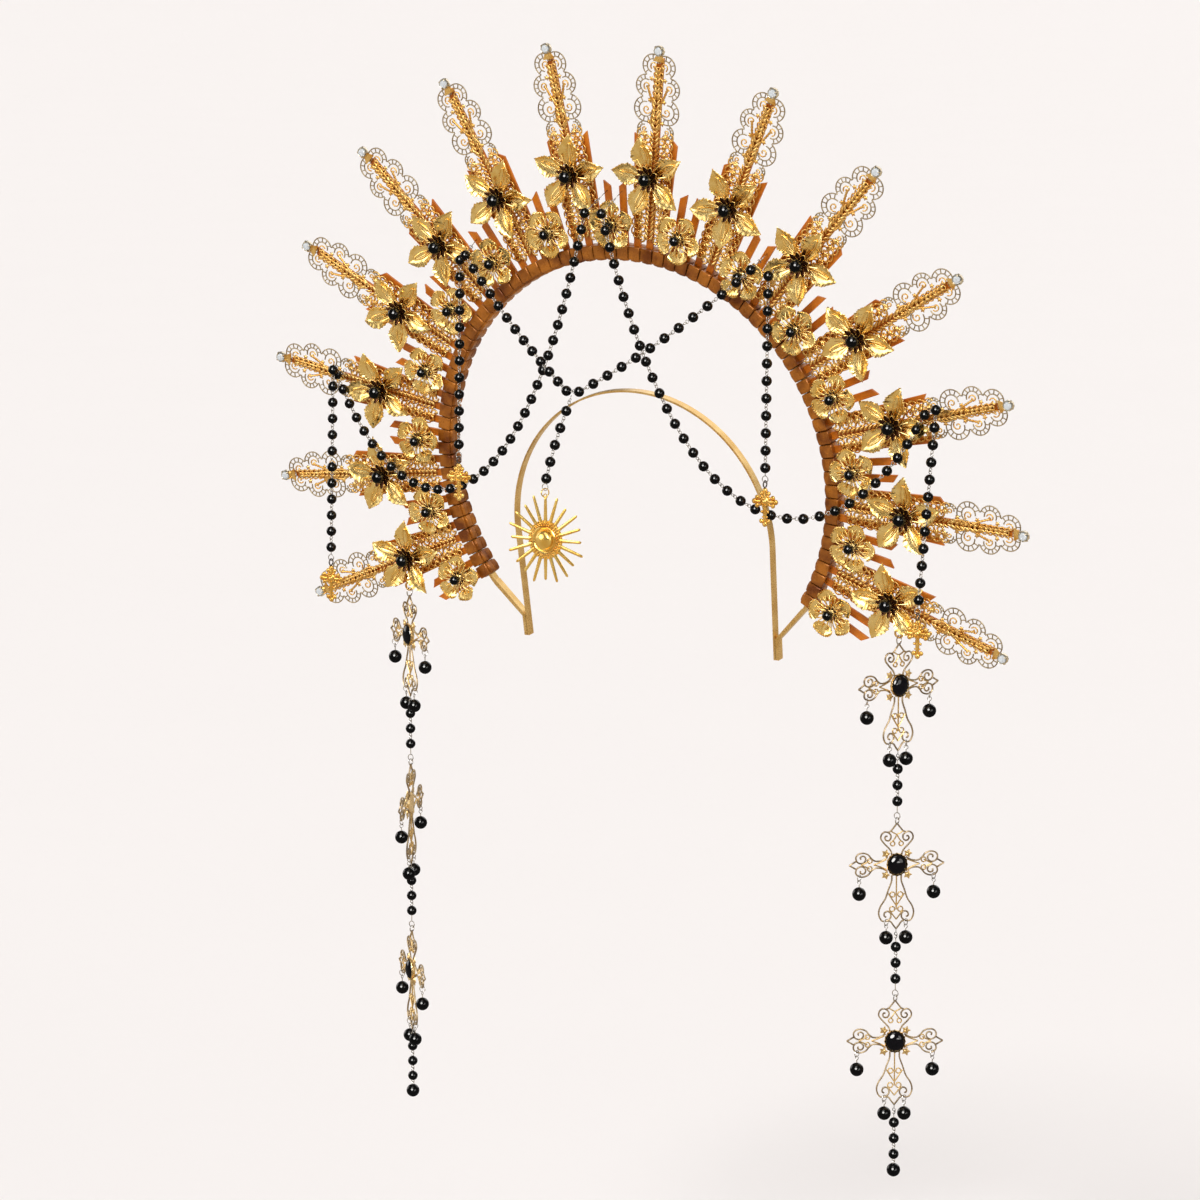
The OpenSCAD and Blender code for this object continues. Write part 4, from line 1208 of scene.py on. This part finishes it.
# %% Rays, grains and boss
SUN_MIDDLE = 28.3  # below the hinge
SUN_BACK = 0.38
RAYS = 20
RAY_ROOT = 8.0
TOP_RAY = 24.6
GRAIN_RINGS = ((8.5, 34, 0.8, 0), (9.6, 38, 0.6, 0.5), (10.7, 40, 0.4, 0))  # (r, grains, height, shift)
BOSS = [(3.0, -0.8), (10.4, -0.8), (11.2, -0.3), (11.0, 0.1), (8.3, 0.4), (7.9, 1.0), (7.8, 1.6),
        (7.4, 1.9), (6.9, 1.7), (6.3, 1.1), (5.8, 1.1), (5.5, 1.5), (5.3, 2.3), (4.8, 3.1), (4.0, 3.7),
        (2.8, 4.15), (1.5, 4.4), (0.2, 4.5)]


def sun():
    """Rays, grains, boss and the eye on the top ray."""
    work = Metalwork()
    for k in range(RAYS):
        a = 2 * math.pi * k / RAYS
        out = np.array([math.sin(a), math.cos(a), 0.0])
        reach = TOP_RAY + 1.5 * math.sin(2.4 * k)
        distance = np.linspace(RAY_ROOT, reach, 18)
        width = 2.7 - 0.9 * (distance - RAY_ROOT) / (reach - RAY_ROOT)
        width[-1] *= 0.45
        wire(work, out * distance[:, None], width, 1.3, sides=8, milled=0.1)
    for r, count, rise, shift in GRAIN_RINGS:
        for k in range(count):
            a = 2 * math.pi * (k + shift) / count
            ball(work, (r * math.sin(a), r * math.cos(a), rise), 0.68, 5, 7)
    turned(work, BOSS, sides=48)
    eye(work, np.array([0, TOP_RAY + 0.4, 0]), UP, FORWARD, 1.2, 0.6)
    return work


print("grains round the boss:", sum(ring[1] for ring in GRAIN_RINGS))

# %% The sun in its place
sun_work = Metalwork()
sun_work.copies(sun(), [Matrix.Translation((0, SUN_BACK, -SUN_MIDDLE)) @ upright])
eye(sun_work, np.array([0, 0, -1.3]), -DOWN, np.array([0.82, -0.57, 0.0]), 2.4, 0.75)
sun_place = Matrix.Translation(Vector((hang + DOWN * FOOT_EYE_R) * MM))
sun_mesh = sun_work.mesh("sun_star", [sun_gold], sharp=40)
piece("sun_star", sun_mesh, "sun_drop", "cast_gold", "sun_pendant", place=sun_place)
print("faces in the sun:", len(sun_work.faces))

# %% [markdown]
# ## Floor and lights
# The studio is plain: a wide pale floor below the crown, a soft key light from above the camera, a
# weaker one from the right, and one from behind. Lamps close by would leave bright pools on the
# floor, so all three are distant lights, which keep it even. They aren't seen in mirrors, because
# the windows of the next step do that work.

# %% Floor and lights
FLOOR_DROP = 0.25
FLOOR_HALF = 60.0
floor_z = cad_box[0].z - FLOOR_DROP
floor_mesh = bpy.data.meshes.new("floor")
corners = [(x * FLOOR_HALF, y * FLOOR_HALF, floor_z) for x, y in ((-1, -1), (1, -1), (1, 1), (-1, 1))]
floor_mesh.from_pydata(corners, [], [(0, 1, 2, 3)])
floor_cloth = finish("floor_cloth", (0.840, 0.810, 0.798), (0.837, 0.807, 0.795), 0.0, (0.7, 0.8), 40,
                     bump=0.0, tone=3, Specular_IOR_Level=0.1)
floor_mesh.materials.append(floor_cloth)
floor = bpy.data.objects.new("floor", floor_mesh)
bpy.context.scene.collection.objects.link(floor)


def distant_light(name, towards, power, spread, colour=(1, 1, 1)):
    """A soft light from far away; towards points from the crown to the light."""
    lamp = bpy.data.lights.new(name, "SUN")
    lamp.energy = power
    lamp.angle = math.radians(spread)
    lamp.color = colour
    obj = bpy.data.objects.new(name, lamp)
    bpy.context.scene.collection.objects.link(obj)
    obj.rotation_euler = (-Vector(towards)).to_track_quat("-Z", "Y").to_euler()
    obj.visible_glossy = False


distant_light("key_light", (0.15, -1.0, 0.85), 1.3, 13)
distant_light("side_light", (1.4, -0.7, 0.9), 0.5, 26)
distant_light("back_light", (-0.8, 1.0, 0.9), 0.5, 30)
print("floor at", round(floor_z / MM, 1), "mm")

# %% [markdown]
# ## Air and mirrors
# Polished metal shows what stands round it, and evenly white air would make gold look like chalk.
# Real soft boxes could stand round the crown, but they would light the floor too. So the world
# itself holds them: rays that come off a mirror see a darker studio with round windows. A lamp
# that is only a point of light on a bead still fills a rough petal, so there are two studios: a
# nearly black one with a few strong windows for the polished stones, whose rays Blender calls
# singular, and a warmer, brighter one for the rough metals.

# %% Windows that mirrors show
PANE_EDGE = 0.01
AIR_IN_METAL = 0.28
METAL_WINDOWS = [  # (direction, cosine of the half angle, glow)
    ((-0.60, -0.77, 0.25), 0.965, 4.6), ((0.42, -0.78, 0.48), 0.975, 9.0),
    ((0.95, -0.25, 0.22), 0.94, 1.7), ((0.1, -0.5, 0.85), 0.92, 1.4),
    ((-0.9, 0.1, 0.2), 0.88, 1.1), ((0.0, 0.9, 0.45), 0.85, 1.1),
]
AIR_IN_STONES = 0.07
STONE_WINDOWS = [
    ((0.20, -0.88, 0.42), 0.955, 18.0), ((0.80, -0.55, -0.05), 0.985, 6.0),
    ((0.95, -0.25, 0.22), 0.97, 2.0), ((0.1, -0.5, 0.85), 0.96, 2.0),
    ((-0.9, 0.1, 0.2), 0.95, 2.0), ((0.0, 0.9, 0.45), 0.95, 2.0),
]
world = bpy.data.worlds.new("studio_air")
world.use_nodes = True
bpy.context.scene.world = world
nodes, links = world.node_tree.nodes, world.node_tree.links
looked = nodes.new("ShaderNodeTexCoord")
print("windows for metal and for stones:", len(METAL_WINDOWS), len(STONE_WINDOWS))

# %% A studio made of windows
def studio(air_between, windows):
    """Glow of the mirrored air in each direction: round windows with soft edges, added up."""
    total = None
    for towards, edge, glow in windows:
        across = nodes.new("ShaderNodeVectorMath")
        across.operation = "DOT_PRODUCT"
        across.inputs[1].default_value = Vector(towards).normalized()
        links.new(looked.outputs["Generated"], across.inputs[0])
        pane = nodes.new("ShaderNodeMapRange")
        pane.interpolation_type = "SMOOTHSTEP"
        pane.inputs["From Min"].default_value = edge - PANE_EDGE
        pane.inputs["From Max"].default_value = edge + PANE_EDGE
        pane.inputs["To Min"].default_value = air_between if total is None else 0.0
        pane.inputs["To Max"].default_value = glow
        links.new(across.outputs["Value"], pane.inputs["Value"])
        if total is None:
            total = pane.outputs["Result"]
        else:
            both = nodes.new("ShaderNodeMath")
            links.new(total, both.inputs[0])
            links.new(pane.outputs["Result"], both.inputs[1])
            total = both.outputs["Value"]
    return total


print("a studio adds up its windows, on air of its own shade")

# %% Which rays see which air
air = nodes["Background"]
air.inputs["Color"].default_value = (1.0, 0.975, 0.96, 1)
air.inputs["Strength"].default_value = 0.70
seen = nodes.new("ShaderNodeBackground")
seen.inputs["Color"].default_value = (0.925, 0.895, 0.88, 1)
mirrored = nodes.new("ShaderNodeBackground")
mirrored.inputs["Color"].default_value = (1.0, 0.98, 0.95, 1)
ray = nodes.new("ShaderNodeLightPath")
polish = nodes.new("ShaderNodeMix")
links.new(ray.outputs["Is Singular Ray"], polish.inputs["Factor"])
links.new(studio(AIR_IN_METAL, METAL_WINDOWS), polish.inputs["A"])
links.new(studio(AIR_IN_STONES, STONE_WINDOWS), polish.inputs["B"])
links.new(polish.outputs["Result"], mirrored.inputs["Strength"])
first, second = nodes.new("ShaderNodeMixShader"), nodes.new("ShaderNodeMixShader")
links.new(ray.outputs["Is Camera Ray"], first.inputs["Fac"])
links.new(air.outputs["Background"], first.inputs[1])
links.new(seen.outputs["Background"], first.inputs[2])
links.new(ray.outputs["Is Glossy Ray"], second.inputs["Fac"])
links.new(first.outputs["Shader"], second.inputs[1])
links.new(mirrored.outputs["Background"], second.inputs[2])
links.new(second.outputs["Shader"], nodes["World Output"].inputs["Surface"])
bpy.context.scene.view_settings.view_transform = "Standard"
print("nodes in the air:", len(nodes))

# %% The floor in mirrors
# Rays that come off a mirror don't see the lit cloth: the floor glows there with a fixed painted
# reflection, a warm grey in metal and nearly black in stones.
FLOOR_IN_METAL = (0.64, 0.56, 0.44, 1)
FLOOR_IN_STONES = (0.10, 0.095, 0.09, 1)
floor_nodes, floor_links = floor_cloth.node_tree.nodes, floor_cloth.node_tree.links
floor_ray = floor_nodes.new("ShaderNodeLightPath")
floor_shade = floor_nodes.new("ShaderNodeMix")
floor_shade.data_type = "RGBA"
shades = [socket for socket in floor_shade.inputs if socket.type == "RGBA"]
shades[0].default_value = FLOOR_IN_METAL
shades[1].default_value = FLOOR_IN_STONES
shade = floor_nodes.new("ShaderNodeEmission")
mixed = [socket for socket in floor_shade.outputs if socket.type == "RGBA"][0]
floor_mix = floor_nodes.new("ShaderNodeMixShader")
floor_links.new(floor_ray.outputs["Is Singular Ray"], floor_shade.inputs["Factor"])
floor_links.new(mixed, shade.inputs["Color"])
floor_links.new(floor_ray.outputs["Is Glossy Ray"], floor_mix.inputs["Fac"])
floor_links.new(floor_nodes["Principled BSDF"].outputs["BSDF"], floor_mix.inputs[1])
floor_links.new(shade.outputs["Emission"], floor_mix.inputs[2])
floor_links.new(floor_mix.outputs["Shader"], floor_nodes["Material Output"].inputs["Surface"])
print("the floor's shade in metal and in stones:", FLOOR_IN_METAL[:3], FLOOR_IN_STONES[:3])
